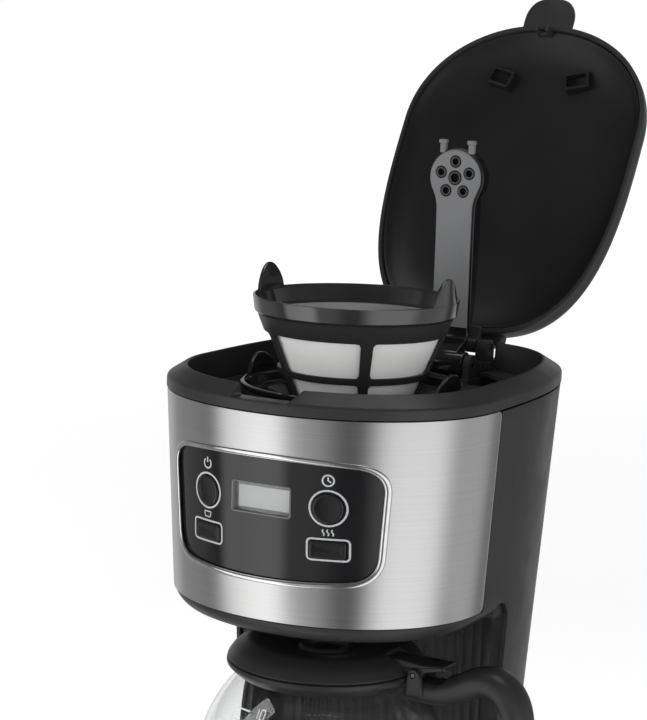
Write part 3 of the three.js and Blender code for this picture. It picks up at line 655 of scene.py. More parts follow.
def button_place(side, z):
    """From a button's own axes, with -Y pointing out of the panel, to the machine's."""
    x = side * BUTTON["x"]
    at = panel_face(x, z, 0)
    turn = Matrix.Rotation(math.radians(side * BUTTON_YAW), 4, "Z")
    return Matrix.Translation(at) @ turn @ Matrix.Rotation(math.radians(BAND_TILT), 4, "X")


BUTTONS = {
    "power": (-1, "round_z"), "prog": (1, "round_z"),
    "brew": (-1, "rect_z"), "warm": (1, "rect_z"),
}


def button_outline(name, grow=0.0):
    if BUTTONS[name][1] == "round_z":
        return circle(0, 0, BUTTON["radius"] + grow, 64)
    corner = max(2 + grow, 0.4)
    return rectangle(0, 0, BUTTON["width"] + 2 * grow, BUTTON["height"] + 2 * grow, corner, 6)


def make_buttons():
    for name, (side, level) in BUTTONS.items():
        levels = [(0, 4.2), (0, -0.35), (0.12, -0.62), (0.4, -0.82), (0.8, -0.9), (1.5, -0.88),
                  (2.3, -0.76), (3.4, -0.62)]
        rings = [[(u, y, v) for u, v in button_outline(name, -inset)] for inset, y in levels]
        cap = solid(rings, place=button_place(side, BUTTON[level]))
        place_piece(f"{name}_cap", cap, "gloss_black", f"{name}_button", f"{name}_button", sharp=60)


def display_outline(less, corner):
    """The display's outline, made narrower and lower by less mm."""
    return rectangle(DISPLAY["x"], DISPLAY["z"], DISPLAY["width"] - less, DISPLAY["height"] - less, corner)


def make_panel():
    plate = body_sweep(upright(PANEL_INSET, 4.2, 218, 300), -50, 50, 160)
    plate = common(plate, front_tool(panel_outline(-CLEARANCE)))
    tools = [front_tool(display_outline(0, 1.2), -40)]
    for name, (side, level) in BUTTONS.items():
        tool = slab(button_outline(name, CLEARANCE), -20, 20, "y", place=button_place(side, BUTTON[level]))
        tools.append(tool)
    place_piece("panel_plate", cut(plate, *tools), "gloss_black", "machine", "control_panel", sharp=25)

    window = body_sweep(upright(2.6, 3.6, 218, 300), -20, 20, 64)
    window = common(window, front_tool(display_outline(0.6, 1), -40))
    place_piece("window_sheet", window, "display_grey", "machine", "display_window", sharp=25)

    levels = [(0.3, -82.9), (0.5, -80.6), (2.3, -79.2), (2.3, -78.4), (-0.2, -78.4), (-0.2, -82.9)]
    outline = display_outline(0.6, 1.4)
    tray = solid([[(u, y, v) for u, v in shrunk(outline, inset)] for inset, y in levels], cyclic=True)
    place_piece("display_tray", tray, "dark_grey", "machine")
    face = slab(display_outline(5.0, 0.6), -78.9, -77.9, "y", 0.1)
    place_piece("display_face", face, "dark_grey", "machine", look="lcd_face")


def make_panel_marks():
    """Printed outlines round the buttons, and a plain sign over each one."""
    lift = 0.14
    parts = []

    def line(path, half=0.5, closed=True):
        parts.append(strip(path, half, lift, panel_face, closed))

    for side in (-1, 1):
        line(circle(side * BUTTON["x"], BUTTON["round_z"], 9.8, 72))
        line(resampled(rectangle(side * BUTTON["x"], BUTTON["rect_z"], 22.2, 11.8, 2.6, 6), 96))
    sign_z, low_sign_z = BUTTON["round_z"] + 15.4, BUTTON["rect_z"] + 9.6
    x = BUTTON["x"]
    fine = 0.42
    arc = [math.radians(125 + 290 * i / 24) for i in range(25)]
    line([(-x + 2.7 * math.cos(a), sign_z + 2.7 * math.sin(a)) for a in arc], fine, False)
    line([(-x, sign_z + 0.6), (-x, sign_z + 3.6)], fine, False)
    line(circle(x, sign_z, 3.0, 36), fine)
    line([(x, sign_z + 1.9), (x, sign_z), (x + 1.5, sign_z - 0.9)], fine, False)
    cup = [(-x - 2.6, low_sign_z + 1.5), (-x - 2.0, low_sign_z - 1.5), (-x + 2.0, low_sign_z - 1.5),
           (-x + 2.6, low_sign_z + 1.5)]
    line(resampled(rounded(cup, 0.5, 4), 60), 0.33)
    for shift in (-2.4, 0, 2.4):
        wave = [(x + shift + 0.5 * math.sin(2 * math.pi * k / 10),
                 low_sign_z - 1.7 + 3.4 * k / 10) for k in range(11)]
        line(wave, 0.33, False)
    place_piece("panel_marks", merged(parts), "dark_grey", "machine", look="grey_print")


def make_ring():
    profile = rounded([
        (-0.4, 317.2, 0.5), (-0.4, 323.4, 1.6), (8.6, 329.3, 1.0), (9.8, CREST_Z, 0.6), (11.1, 329.6, 0.9),
        (12.1, 304, 0.8), (10.3, 304, 0.8), (9.2, 314.2, 2), (4, 317.2, 1)], 1, 5)
    ring = body_sweep(profile, segments=288)
    notch = [(-20.5, 345), (-20.5, 324.4, 1.2), (-19.6, 323.2, 0.6), (15.5, 323.2, 1.6), (21.5, 331.5, 1.5),
             (30, 345)]
    tab_notch = slab(rounded(notch, 0, 4), -95, -60, "y")
    hinge_notch = slab(rounded([(-26, 318.3, 2), (26, 318.3, 2), (26, 345), (-26, 345)], 0, 4), 140, 180,
                       "y")
    ring = soften(cut(ring, tab_notch, hinge_notch), 0.45)
    place_piece("brim", ring, "satin_black", "machine", "top_ring", sharp=40)


def make_underside():
    profile = rounded([
        (1.0, 200.3, 0.3), (1.6, 197.5, 2), (5.4, 192.6, 3.5), (12, 190, 3), (45, 190, 0.2),
        (45, 192.4, 0.2), (12, 192.4, 2), (7.4, 194.8, 2), (4, 197.6, 2), (3.8, 200.3, 0.3)], 1, 6)
    skirt = body_sweep(profile, segments=256)
    floor_plan = [body_point(a, 40, 190)[:2] for a in full_turn(128)]
    skirt = joined(skirt, slab(floor_plan, 190.0, 192.4, "z"))
    sides = [brick(*sorted((side * 85, side * 130)), 30, 200, 150, 250) for side in (-1, 1)]
    rear = brick(-130, 130, 74.5, 220, 150, 250)
    hole = rod(180, 200, *DRIP_AXIS, 24, "z", count=64)
    skirt = cut(skirt, *sides, rear, hole)
    collar = turned(rounded([(24, 189.2), (27.5, 189.2), (27.5, 191), (24, 191)], 0.5, 4), DRIP_AXIS, 96)
    place_piece("skirt", soften(joined(skirt, collar), 0.3), "satin_black", "machine", "head_underside",
                sharp=40)


# ---------- tower and base ----------
def make_tower():
    top, wall_thick = 316.2, 2.5
    levels = [BASE["top"] + CLEARANCE + (top - BASE["top"] - 2 * CLEARANCE) * i / 28 for i in range(29)]
    profile = [(0, z) for z in levels] + [(wall_thick, z) for z in reversed(levels)]
    start = angle_at(SEAM_Y + SEAM_GAP)
    wall = body_sweep(profile, start, 360 - start, 200)
    bay_back, bay_top = 45.0, BAND["bottom"]
    bay = rounded([(-200, -10, 0), (bay_back, -10, 0), (bay_back, bay_top, 16), (-200, bay_top, 0)], 0, 12)
    wall = cut(wall, slab(bay, -130, 130, "x"))
    place_piece("tower_wall", soften(wall, 0.5), "satin_black", "machine", "rear_housing", sharp=40)

    half, wall_y, pitch, deep = 70.0, 75.3, 6.0, 0.9
    steps = [(-half + 2 * half * i / 280) for i in range(281)]
    flutes = [(x, wall_y + deep * abs(math.sin(math.pi * (x + half) / pitch))) for x in steps]
    sides_in = [(-81, 47.4), (-79.4, 55), (-77.6, 61.5), (-75.4, 68), (-73.4, 72.4), (-71.4, 74.6)]
    back = [(82, 57), (79.4, 66), (77, 73), (74, 76.6), (70, 78.2)]
    beside_bay, inside_wall = math.radians(angle_at(bay_back + 2)), 3.1
    rings = []
    for i in range(17):
        z = BASE["top"] + CLEARANCE + (189.4 - BASE["top"]) * i / 16
        reach = body_point(beside_bay, inside_wall, z)[0]
        edge = [(reach, 47.4), (reach, 50.4), (84, 51)]
        plan = [(-reach, 47.4)] + sides_in + flutes + [(-x, y) for x, y in reversed(sides_in)] + edge + back
        plan += [(-x, y) for x, y in reversed(edge[1:] + back)]
        rings.append([(x, y, z) for x, y in plan])
    wall = solid(rings)
    shoulder = body_point(beside_bay, inside_wall, 196)[0]
    ends = [brick(*sorted((side * 85.3, side * shoulder)), 30.4, 50.4, 191, 203.5) for side in (-1, 1)]
    wall = joined(wall, *ends)
    place_piece("fluted_wall", wall, "satin_black", "machine", "front_wall", sharp=50)


def base_point(angle, inset, z):
    return (*outline_point(angle, BASE["half"] - inset, BASE["front"] - inset, BASE["rear"] - inset), z)


def make_base():
    profile = rounded([
        (3, 5, 0.8), (0, 10, 3), (0, 36.5, 3), (5.5, BASE["top"], 3.5), (30, BASE["top"], 0.2),
        (30, 41.4, 0.2), (7, 41.4, 2), (2.6, 37, 2), (2.6, 10.5, 1), (5.2, 5, 0.6)], 1, 6)
    shell = body_sweep(profile, segments=288, place=base_point)
    deck_plan = [base_point(a, 28, 0)[:2] for a in full_turn(144)]
    shell = joined(shell, slab(deck_plan, 41.4, BASE["top"], "z"))
    holes = [
        rod(30, 50, CARAFE[0], CARAFE[1], 58.2, "z", count=144),
        brick(-26, 42, 79, 126, 30, 50),
        rod(140, 170, -30, 22, 5.1, "y"),
    ]
    shell = cut(shell, *holes)
    dish = turned(rounded([(61.4, 43.6), (61.4, 50), (64.6, 50), (64.6, 43.6)], 0.2, 2), CARAFE, 144)
    shell = cut(shell, dish)
    place_piece("base_shell", soften(shell, 0.35), "satin_black", "machine", "base_housing", sharp=40)

    plate = rounded([
        (0, 46, 0), (51, 46, 1.5), (53, 45.4, 1), (55, 46, 1.5), (58.5, 46, 1.2), (60.5, 45.4, 0.6),
        (60.5, 44.4, 0.3),
        (57.6, 44.3, 0.2), (57.6, 39, 0.2), (56.4, 39, 0.2), (56.4, 44.2, 0.2), (0, 44.2, 0)], 0.5, 5)
    place_piece("hot_plate", turned(plate, CARAFE, 144), "non_stick", "machine", "warming_plate", sharp=40)


# ---------- lid and spout ----------
def lid_stack(profile, place, segments=192):
    """Rings of the lid's outline, each a share of its full size; the stack closes on itself."""
    centre = (LID["rear"] - LID["front"]) / 2
    plan = [outline_point(a, LID["half"], LID["front"], LID["rear"]) for a in full_turn(segments)]
    rings = [[(x * share, centre + (y - centre) * share, z) for x, y in plan] for share, z in profile]
    return solid(rings, cyclic=True, place=place)


def smooth_profile(points, steps=5):
    """A Catmull-Rom curve through the points, as more points."""
    out = []
    ends = [points[0], *points, points[-1]]
    for a, b, c, d in zip(ends, ends[1:], ends[2:], ends[3:]):
        a, b, c, d = (Vector(p) for p in (a, b, c, d))
        for k in range(steps):
            t = k / steps
            out.append(0.5 * (2 * b + (c - a) * t + (2 * a - 5 * b + 4 * c - d) * t ** 2
                              + (3 * b - a - 3 * c + d) * t ** 3))
    out.append(Vector(points[-1]))
    return [tuple(p) for p in out]


def make_lid():
    place = swing(LID_PIVOT, LID["open"])
    edge = LID["edge"]
    outer = smooth_profile([(0, 349), (0.2, 348.9), (0.4, 348.6), (0.6, 347.8), (0.78, 346.2), (0.9, 344),
                            (0.96, 341.2), (0.987, 337.4), (0.998, 333), (1, 328)])
    inner = smooth_profile([(0.968, 330), (0.91, 334.6), (0.8, 339.2), (0.63, 343.1), (0.4, 345.7),
                            (0.2, 346.5), (0, 346.7)])
    lip = [(1, edge + 0.6), (0.997, edge + 0.15), (0.991, edge), (0.979, edge), (0.973, edge + 0.2),
           (0.971, edge + 0.7)]
    shell = lid_stack(outer + lip + inner, place)
    tab = rounded([(-17, -66, 0), (-17.5, -84, 8), (-10, -93.6, 9), (10, -93.6, 9), (17.5, -84, 8),
                   (17, -66, 0)], 0, 8)
    shelf = slab(tab, edge - 0.1, edge + 3.6, "z", 1.0, place)
    shelf = cut(shelf, brick(-30, 30, -71.4, -50, 300, 360, place=place))
    flange = brick(-13.5, 13.5, 143.5, 156, 324, 328.6, 1.0, place)
    barrel = rod(-13.5, 13.5, *LID_PIVOT, 4.4, "x", 0.5, 40, place)
    heel = brick(-25, 25, 142, 151.6, 332.4, 341, 1.4, place)
    shell = joined(shell, shelf, flange, barrel, heel)
    shell = cut(shell, rod(-40, 40, *LID_PIVOT, HINGE_HOLE, "x", place=place))
    place_piece("lid_cover", shell, "satin_black", "lid", "lid_shell", sharp=38)

    face = smooth_profile([(0.967, 327.6), (0.955, 327.2), (0.9, 332), (0.79, 337.5), (0.62, 341.4),
                           (0.4, 344), (0.2, 344.7), (0, 344.9)])
    back = smooth_profile([(0, 346.3), (0.2, 346.1), (0.4, 345.3), (0.63, 342.7), (0.8, 338.8),
                           (0.91, 333.6), (0.968, 328.4)])
    liner = lid_stack(face + back, place)
    bosses = []
    for x, turn in ((-27, 14), (27, -14)):
        spot = Matrix.Translation((x, -38, 0)) @ Matrix.Rotation(math.radians(turn), 4, "Z")
        outline = rectangle(0, 0, 17, 12, 1.6)
        block = slab(outline, 333.2, 342, "z", 0.8, place @ spot)
        hollow = slab(rectangle(0, 0, 13.4, 8.4, 1), 331, 339, "z", 0, place @ spot)
        bosses.append(cut(block, hollow))
    liner = joined(liner, *bosses)
    place_piece("lid_lining", liner, "gloss_black", "lid", "lid_liner", look="lid_lining", sharp=38)

    prongs = []
    for side in (-1, 1):
        arm_plan = rectangle(side * 3.7, -67.6, 2.2, 4.2, 0.7, 4)
        prongs.append(slab(arm_plan, 318.5, 328.4, "z", 0.5, place))
    bridge = slab(rectangle(0, -66.8, 9.6, 2.2, 0.6, 4), 324.2, 328.4, "z", 0.4, place)
    latch = joined(prongs[0], prongs[1], bridge)
    place_piece("latch_prongs", latch, "satin_black", "lid", "lid_latch", sharp=40)


def arm_outline(grow=0.0):
    """The spout cover's outline: a round head that runs into a straight neck."""
    y = ARM["head_y"]
    radius, neck = ARM["radius"] + grow, ARM["neck"] + grow
    start = math.degrees(math.asin(neck / radius)) + 16
    outline = [(radius * math.sin(t), y - radius * math.cos(t)) for t in
               (math.radians(-180 + start + (360 - 2 * start) * i / 40) for i in range(41))]
    last = outline[-1]
    flare = rounded([last, (neck + 0.2, last[1] + 6.5, 6), (neck, y + 36, 8), (neck, 113, 1.2)], 4, 6,
                    closed=False)[1:]
    mirrored = [(-u, v) for u, v in reversed(flare)]
    return outline + flare + mirrored


def make_arm():
    place = swing(ARM["pivot"], ARM["open"])
    y0 = ARM["head_y"]
    spots = [(10 * math.sin(a), y0 - 10 * math.cos(a)) for a in full_turn(5)]
    cover = slab(arm_outline(), 325.3, 327.3, "z", 0.5, place)
    nozzles = [*((spot, 2.2) for spot in spots), ((0, y0), 2.9)]
    seat = 1.7
    holes = [rod(320, 330, *spot, hole + seat, "z", count=36, place=place) for spot, hole in nozzles]
    cover = cut(cover, *holes)
    place_piece("spout_face", cover, "dark_grey", "spout", "spout_cover", sharp=38)

    lips, seats = [], []
    for spot, hole in nozzles:
        lip = rounded([(hole, 324.9), (hole + 0.9, 324.9), (hole + 0.9, 326), (hole, 326)], 0.3, 4)
        lips.append(turned(lip, spot, 40, place))
        tube = [(hole, 326.1), (hole + seat - 0.1, 326.1), (hole + seat - 0.1, 327.4), (hole, 327.4)]
        seats.append(turned(tube, spot, 40, place))
        seats.append(rod(327.4, 327.7, *spot, hole + seat - 0.1, "z", 0, 40, place))
    place_piece("nozzle_lips", merged(lips), "dark_grey", "spout", look="nozzle_lip", sharp=50)
    # painted shade: the seats fill the nozzle holes and their grooves with near-black, standing in for the
    # shade there
    place_piece("nozzle_seats", merged(seats), "gloss_black", "spout", look="well_black", sharp=50)

    side = rounded([(141, 318, 1.6), (138.5, 322.5, 2), (132, 325.6, 2), (116, 333, 3), (104, 338, 4),
                    (60, 341, 8),
                    (30, 341, 1.6), (30, 327.7, 1.6), (120, 327.7, 1.6), (127, 314, 2), (134, 311, 2)], 2,
                    5)
    bar = slab(side, -11.2, 11.2, "x", 0.6, place)
    disc = rod(327.8, 339.4, 0, y0, ARM["radius"], "z", 1.0, 72, place)
    rib = slab(arm_outline(1.3), 327.6, 330.4, "z", 0.6, place)
    barrel = rod(-16.2, 16.2, *ARM["pivot"], 7.4, "x", 0.8, 48, place)
    body = joined(bar, disc, rib, barrel)
    body = cut(body, rod(-40, 40, *ARM["pivot"], HINGE_HOLE, "x", place=place))
    place_piece("spout_channel", body, "gloss_black", "spout", "spout_arm", sharp=38)

    clips = []
    for side_x in (-1, 1):
        stem = slab(rectangle(side_x * 9.6, y0 - 18.6, 3.6, 7.4, 0.8, 4), 326.2, 329.6, "z", 0.4, place)
        hook = slab(rectangle(side_x * 9.6, y0 - 22, 4.8, 2.4, 0.6, 4), 325.4, 329.4, "z", 0.4, place)
        clips.append(joined(stem, hook))
    place_piece("spout_clips", merged(clips), "dark_grey", "spout", sharp=38)


# ---------- filter and basket ----------
def around_basket(turn, radius, z):
    return BASKET[0] + radius * math.sin(turn), BASKET[1] - radius * math.cos(turn), z


def rim_tab(side, radius, thick, half, low, high, place=None):
    """A rounded grip that stands on a round rim and follows its curve."""
    columns = 28
    rings = []
    for i in range(columns + 1):
        share = -1 + 2 * i / columns
        turn = math.radians(90 * side) + share * half / radius
        top = low + (high - low) * (math.cos(share * math.pi / 2) ** 0.62 if abs(share) < 1 else 0) + 0.6
        ring = rounded([(radius - thick / 2, low - 1.5), (radius + thick / 2, low - 1.5),
                        (radius + thick / 2, top), (radius - thick / 2, top)], thick * 0.35, 3)
        rings.append([around_basket(turn, r, z) for r, z in ring])
    return solid(rings, place=place)


def window_tool(middle_deg, half_deg, low, high, place):
    """A cutter for one rounded window in the filter's cone."""
    corner = [(-half_deg, low), (half_deg, low), (half_deg, high), (-half_deg, high)]
    scale = 0.9
    outline = rounded([(u * scale, v) for u, v in corner], 2.2, 4)
    rings = [[around_basket(math.radians(middle_deg + u / scale), r, z) for u, z in resampled(outline, 72)]
             for r in (24, 70)]
    return solid(rings, place=place)


def make_filter():
    place = Matrix.Translation((0, 0, FILTER_LIFT))
    profile = rounded([
        (59.4, 322.2, 0.5), (58.2, 313.2, 0.8), (56.6, 312.2, 0.8), (55.0, 308, 1), (33, 254, 1.5),
        (31, 252.4, 1.5),
        (28, 252.4, 0.5), (28, 254.2, 0.5), (31, 254.6, 1), (53.3, 308, 1), (54.6, 312.4, 1),
        (57.4, 321.0, 0.8), (57.9, 322.2, 0.4)], 1, 4)
    cone = turned(profile, BASKET, 180, place)
    ribs, rib_half = 5, 3.9
    tools = []
    for i in range(ribs):
        at = 360 / ribs * i
        half = 180 / ribs - rib_half
        tools.append(window_tool(at, half, 281, 302, place))
        tools.append(window_tool(at, half, 259, 277, place))
    cone = soften(cut(cone, merged(tools)), 0.35)
    tabs = [rim_tab(side, 58.2, 1.9, 14, 321.4, 336.5, place) for side in (-1, 1)]
    cone = joined(cone, *tabs)
    place_piece("filter_cage", cone, "gloss_black", "filter", "filter_frame", look="satin_black", sharp=38)
    rim_from = 312.8 + FILTER_LIFT
    second_look(cone, "filter_rim_gloss", lambda centre, normal: centre.z > rim_from * MM)

    cloth = turned([(53.6, 311.2), (30.6, 255.4), (0, 255.4), (0, 255.8), (30.2, 255.8), (53.2, 311.2)],
                   BASKET, 180, place)
    place_piece("filter_cloth", cloth, "filter_mesh", "filter", "filter_mesh", sharp=40)
    # painted shade: the cloth's inner and upward faces get the darker copy of the mesh
    axis = ORIGIN + Vector((*BASKET, 0)) * MM
    second_look(cloth, "filter_mesh_inside", lambda centre,
                normal: normal.z > 0.9 or normal.xy.dot(centre.xy - axis.xy) < 0)


def make_basket():
    profile = rounded([
        (65.5, 320.2, 0.6), (65.5, 317.8, 0.6), (62.8, 317.4, 1), (62.5, 311, 1.5), (59.2, 305.4, 3),
        (42, 242.5, 4),
        (36, 238.4, 3), (0, 238.4, 0), (0, 241, 0), (35, 241, 3), (40, 244.4, 3), (56.9, 306, 2),
        (58.4, 311.6, 1), (60.4, 312.4, 1), (61.2, 319, 1), (63, 320.6, 0.8)], 1, 5)
    shell = turned(profile, BASKET, 160)
    pipe = rod(186, 239, *DRIP_AXIS, 11, "z", 0.6, 64)
    bore = rod(180, 238.4, *DRIP_AXIS, 9, "z", 0, 64)
    ears = [rim_tab(side, 62.8, 2.2, 16, 318.6, 330.8) for side in (-1, 1)]
    shell = joined(cut(joined(shell, pipe), bore), *ears)
    shell = cut(shell, rod(230, 245, *DRIP_AXIS, 5.5, "z"))
    ribs = []
    for i in range(12):
        turn = math.radians(15 + 30 * i)
        rings = []
        for radius, z in ((42.4, 248), (56.4, 303)):
            ring = []
            for du, dr in ((-0.7, 0.4), (0.7, 0.4), (0.7, -1.2), (-0.7, -1.2)):
                ring.append(around_basket(turn + du / radius, radius + dr, z))
            rings.append(ring)
        ribs.append(solid(rings))
    shell = joined(shell, *ribs)
    place_piece("basket_bowl", shell, "satin_black", "basket", "brew_basket", look="gloss_black", sharp=38)


# ---------- carafe ----------
def sphere_radius(z, inset=0.0):
    return math.sqrt((SPHERE["radius"] - inset) ** 2 - (z - SPHERE["z"]) ** 2)


def make_glass():
    wall, low_z, high_z = 2.2, 56, 154
    heights = [low_z + (high_z - low_z) * i / 40 for i in range(41)]
    outer = [(sphere_radius(z), z) for z in heights]
    inner = [(sphere_radius(z, wall), z) for z in reversed(heights)]
    foot = rounded([(0, 46.5, 0), (49, 46.5, 5), (55.5, 49.5, 5), outer[0]], 3, 8, closed=False)
    seat = rounded([inner[-1], (52, 52.2, 4), (46, 48.9, 4), (0, 48.9, 0)], 3, 8, closed=False)
    neck = rounded([outer[-1], (44.9, 156.5, 1), (44.5, 161.2, 0.8), (42.6, 161.2, 0.8), inner[0]], 0.8, 5,
                   closed=False)
    profile = foot + outer[1:-1] + neck + inner[1:-1] + seat
    place_piece("glass_bowl", turned(profile, CARAFE, 192), "carafe_glass", "carafe", "carafe_glass",
                sharp=60)


def on_glass(x, z, lift):
    """A point on the front of the glass, lift mm proud of it, over x and z."""
    radius = SPHERE["radius"]
    depth = math.sqrt(max(radius ** 2 - x ** 2 - (z - SPHERE["z"]) ** 2, 0))
    share = (radius + lift) / radius
    return CARAFE[0] + x * share, CARAFE[1] - depth * share, SPHERE["z"] + (z - SPHERE["z"]) * share


SEGMENTS = {
    "a": ((0, 2), (1, 2)), "b": ((1, 1), (1, 2)), "c": ((1, 0), (1, 1)), "d": ((0, 0), (1, 0)),
    "e": ((0, 0), (0, 1)), "f": ((0, 1), (0, 2)), "g": ((0, 1), (1, 1)),
}
DIGITS = {"1": "bc", "2": "abged", "4": "fgbc", "6": "afgedc", "8": "abcdefg", "0": "abcdef"}


def make_level_marks():
    """Cup marks printed on the glass, with plain numbers."""
    parts = []
    levels = [(10, 140.5), (8, 128), (6, 114), (4, 98), (2, 78)]
    left = -26.0

    def line(path, half=0.38):
        parts.append(strip(path, half, 0.1, on_glass, closed=False, sink=-0.02))

    for cups, z in levels:
        line([(left + i, z) for i in range(0, 11)])
        line([(left + i, z - 5.5) for i in range(0, 6)])
        for k, digit in enumerate(str(cups)):
            corner = Vector((left + 13.5 + 4.4 * k, z - 2.4))
            for name in DIGITS[digit]:
                (u0, v0), (u1, v1) = SEGMENTS[name]
                line([corner + Vector((u0 * 2.6, v0 * 2.4)), corner + Vector((u1 * 2.6, v1 * 2.4))], 0.3)
    line([(left - 2.2, z) for z in range(74, 143, 3)], 0.25)
    place_piece("level_marks", merged(parts), "white_plastic", "carafe", look="pale_print")


def make_collar():
    profile = rounded([
        (48.4, 152.4, 0.5), (50.4, 152.4, 0.8), (55.4, 156.4, 2.5), (57.2, 158.6, 1), (57.2, 160.8, 0.6),
        (54, 161.4, 0.8), (45, 161.4, 0.3), (45, 157.2, 0.3), (48.2, 153.6, 0.5)], 0.5, 5)
    place_piece("collar_band", turned(profile, CARAFE, 160), "satin_black", "carafe", "carafe_collar",
                sharp=45)


def handle_path():
    """The handle's middle line in side view, from the collar over its hump and down."""
    return smooth_profile([
        (57.8, 153.6), (66, 153.6), (76, 154.4), (88, 158.5), (98, 163.6), (107, 164.8), (115, 161),
        (120.8, 152.6), (123.4, 141), (123.2, 128), (120.4, 113), (115, 99), (108, 86), (101, 76.6)], 5)


def make_handle():
    path = handle_path()
    sides = 32
    rings = []
    for i, point in enumerate(path):
        t = i / (len(path) - 1)
        along = (Vector(path[min(i + 1, len(path) - 1)]) - Vector(path[max(i - 1, 0)])).normalized()
        thick = 6.4 + 2.0 * math.sin(math.pi * min(t * 1.15, 1)) ** 0.8
        wide = 9.0 + 2.9 * math.sin(math.pi * min(t * 1.1, 1)) ** 0.8
        close = 1 if t < 0.93 else math.sqrt(max(1 - ((t - 0.93) / 0.075) ** 2, 0.05))
        ring = []
        for a in full_turn(sides):
            c, s = math.cos(a), math.sin(a)
            n = thick * close * math.copysign(abs(c) ** 0.85, c)
            sideways = wide * close * math.copysign(abs(s) ** 0.85, s)
            ring.append((point[0] - along.y * n, CARAFE[1] + sideways, point[1] + along.x * n))
        rings.append(ring)
    grip = solid(rings)
    y = CARAFE[1]
    clearance = brick(50, 80.5, y - 8.4, y + 8.4, 159.4, 176)
    grip = soften(cut(grip, clearance), 0.5)
    ears = []
    for side in (-1, 1):
        y0, y1 = sorted((y + side * 8.5, y + side * 11))
        outline = rounded([(58.2, 152, 1), (69, 152, 1), (67.5, 161, 3), (64.6, 167, 3), (59.4, 167, 3),
                           (58.2, 160, 1)], 1, 5)
        ears.append(slab(outline, y0, y1, "y", 0.4))
    grip = joined(grip, *ears)
    grip = cut(grip, rod(y - 40, y + 40, *LEVER_PIN, LEVER_HOLE, "y"))
    place_piece("handle_grip", grip, "satin_black", "carafe", "carafe_handle", sharp=40)


def make_carafe_lid():
    profile = rounded([
        (6, 163.4, 0.3), (12.2, 166.4, 1), (12.6, 169.2, 0.8), (13.9, 170.2, 0.7), (15.2, 169.4, 0.8),
        (15.8, 167.6, 0.8), (24, 169.5, 2), (38, 172.8, 3), (45, 172.6, 3), (53, 168.4, 4), (56.8, 162.6, 2),
        (56.8, 161.8, 0.3),
        (40.6, 161.8, 0.3), (40.6, 153, 0.5), (38.8, 153, 0.5), (38.8, 169.6, 2), (16, 165, 2),
        (6, 161.4, 0.3)], 1, 6)
    dome = turned(profile, CARAFE, 160)
    y = CARAFE[1]
    dome = cut(dome, brick(42.9, 70, y - 8.3, y + 8.3, 163.5, 180))
    dome = soften(dome, 0.35)
    place_piece("carafe_cap", dome, "satin_black", "carafe_cover", "carafe_lid", sharp=40)

    side = rounded([(43.2, 163.9, 0.5), (56, 163.9, 1), (58.4, 160.6, 1), (65, 160.6, 1), (67.2, 165, 2),
                    (80, 168.3, 1),
                    (80.4, 170.9, 1), (74, 170.2, 3), (66, 169.4, 3), (55, 170.6, 3), (43.2, 170.6, 0.8)],
                    0.8, 6)
    lever = slab(side, y - 8, y + 8, "y", 0.9)
    grooves = [rod(y - 20, y + 20, 70 + 2.4 * i, 171.1, 0.8, "y") for i in range(4)]
    lever = cut(lever, rod(y - 40, y + 40, *LEVER_PIN, LEVER_HOLE, "y"), *grooves)
    place_piece("thumb_lever", lever, "satin_black", "carafe_cover", "lid_lever", sharp=40)


# ---------- the pieces that keep their CAD shape ----------
def finish_cad_nodes():
    """Welds and bevels the CAD solids that stay, and gives each its slot's look, the pins a blackened steel
    one.
    """
    slots = {entry["node"]: entry["material_slot"] for entry in frame["record"]["subparts"]}
    for name, node in frame["nodes"].items():
        node.data.materials.clear()
        node.data.materials.append(LOOKS["blackened_steel" if name in BLACK_PINS else slots[name]])
        weld = node.modifiers.new("weld", "WELD")
        weld.merge_threshold = WELD_DISTANCE
        bevel = node.modifiers.new("bevel", "BEVEL")
        bevel.width = 0.3 * MM
        bevel.segments = 2
        bevel.limit_method = "ANGLE"
        bevel.angle_limit = math.radians(40)


# ---------- camera, light and floor ----------
def make_camera():
    """The viewpoint: a little to the right of the front, slightly above, with a small roll."""
    azimuth, elevation, roll = (math.radians(a) for a in (28.884, 9.011, 1.908))
    target, distance = Vector((-10.1, 0, 334.1)), 1327.2
    right = Vector((math.cos(azimuth), math.sin(azimuth), 0))
    level_back = Vector((math.sin(azimuth), -math.cos(azimuth), 0))
    back = level_back * math.cos(elevation) + Vector((0, 0, math.sin(elevation)))
    rolled_right = right * math.cos(roll) + back.cross(right) * math.sin(roll)
    turn = Matrix((rolled_right, back.cross(rolled_right), back)).transposed().to_4x4()
    camera = linked("camera", bpy.data.cameras.new("camera"))
    camera.data.sensor_width = 36
    camera.data.lens = 116.15
    camera.data.clip_start, camera.data.clip_end = 0.05, 60
    camera.matrix_world = Matrix.Translation(ORIGIN + (target + back * distance) * MM) @ turn
    bpy.context.scene.camera = camera


LAMP_AIM = Vector((0, -0.1, 0.25))
LAMPS = [  # name, place, size, power, and whether it shows as a reflection
    ("left_box", (-1.5, -1.05, 0.95), (0.7, 1.7), 19, False),
    ("front_box", (0.9, -1.9, 0.6), (1.4, 0.9), 15, False),
    ("right_box", (1.9, -0.75, 0.95), (1.5, 1.7), 9, False),
    ("top_box", (0.1, 0.2, 2.2), (1.6, 1.2), 12, True),
]


def make_lights():
    for name, place, size, power, mirrored in LAMPS:
        light = bpy.data.lights.new(name, "AREA")
        light.shape = "RECTANGLE"
        light.size, light.size_y = size
        light.energy = power
        box = linked(name, light)
        box.location = place
        box.rotation_mode = "QUATERNION"
        box.rotation_quaternion = (LAMP_AIM - Vector(place)).to_track_quat("-Z", "Y")
        box.visible_glossy = mirrored
    bpy.context.scene.view_settings.view_transform = "Standard"


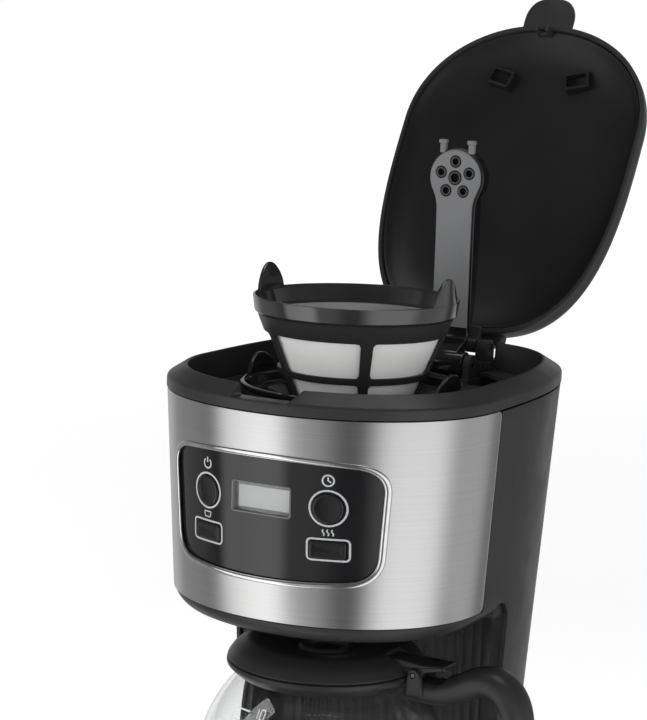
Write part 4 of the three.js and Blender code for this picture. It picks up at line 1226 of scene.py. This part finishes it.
def make_floor():
    """A plain pale floor, lit a little more far away so that it runs into the backdrop."""
    far = 30.0
    mesh = bpy.data.meshes.new("floor")
    mesh.from_pydata([(-far, -far, 0), (far, -far, 0), (far, far, 0), (-far, far, 0)], [], [(0, 1, 2, 3)])
    floor = linked("floor", mesh)
    paint = Finish("floor_paint").set(Roughness=0.7, Specular_IOR_Level=0.2, Emission_Color=(1, 1, 1, 1))
    distance = paint.vectors("LENGTH", paint.place, output="Value")
    cloud = paint.spread(paint.noise(1.5, 2), 0, 1)
    paint.set(Emission_Strength=paint.spread(distance, 0.5, 0.93, 0.7, 3.0),
              Base_Color=paint.mix(cloud, (0.86, 0.86, 0.86), (0.88, 0.88, 0.88)))
    mesh.materials.append(paint.material)
    floor.visible_glossy = False


LIGHT_PANELS = [  # degrees from the front, inner and outer half width in degrees, strength
    (-38, 14, 25, 1.3), (-14, 6, 34, 0.38), (-95, 8, 36, 0.22),
    (72, 14, 42, 1.2), (130, 10, 30, 0.45), (186, 8, 22, 0.45),
    (-140, 10, 34, 0.5),
]


def make_room():
    """A dim room with tall light panels round it, and a white backdrop behind everything."""
    world = bpy.data.worlds.new("studio")
    bpy.context.scene.world = world
    world.use_nodes = True
    room = Nodes(world.node_tree)
    soft = {"interpolation_type": "SMOOTHSTEP"}
    direction = room.node("TexCoord").outputs["Generated"]
    compass = room.vectors("NORMALIZE", room.vectors("MULTIPLY", direction, (1, 1, 0)))
    height = room.node("SeparateXYZ", {"Vector": direction}).outputs["Z"]

    glow = 0
    for towards, inner, outer, strength in LIGHT_PANELS:
        turn = math.radians(towards)
        facing = room.vectors("DOT_PRODUCT", compass, (math.sin(turn), -math.cos(turn), 0), output="Value")
        edges = (math.cos(math.radians(a)) for a in (outer, inner))
        glow = room.maths("ADD", glow, room.spread(facing, 0, strength, *edges, **soft))
    low_down = room.spread(height, 1, 0.04, 0.05, 0.45, **soft)
    brightness = room.maths("ADD", room.maths("MULTIPLY", glow, low_down), 0.1)

    white = (1, 1, 1, 1)
    dim = room.wire(room.tree.nodes["Background"], {"Color": white, "Strength": brightness})
    backdrop = room.node("Background", {"Color": white})
    rays = room.node("LightPath")
    sky = room.node("MixShader", {
        "Fac": rays.outputs["Is Camera Ray"], 1: dim.outputs["Background"],
        2: backdrop.outputs["Background"]})
    room.wire(room.tree.nodes["World Output"], {"Surface": sky.outputs["Shader"]})


for make in (
        make_camera, make_floor, make_room, make_lights, finish_cad_nodes, make_band, make_panel_frame,
        make_panel,
        make_buttons, make_panel_marks, make_ring, make_underside, make_tower, make_base, make_lid,
        make_arm,
        make_filter, make_basket, make_glass, make_level_marks, make_collar, make_handle, make_carafe_lid):
    make()
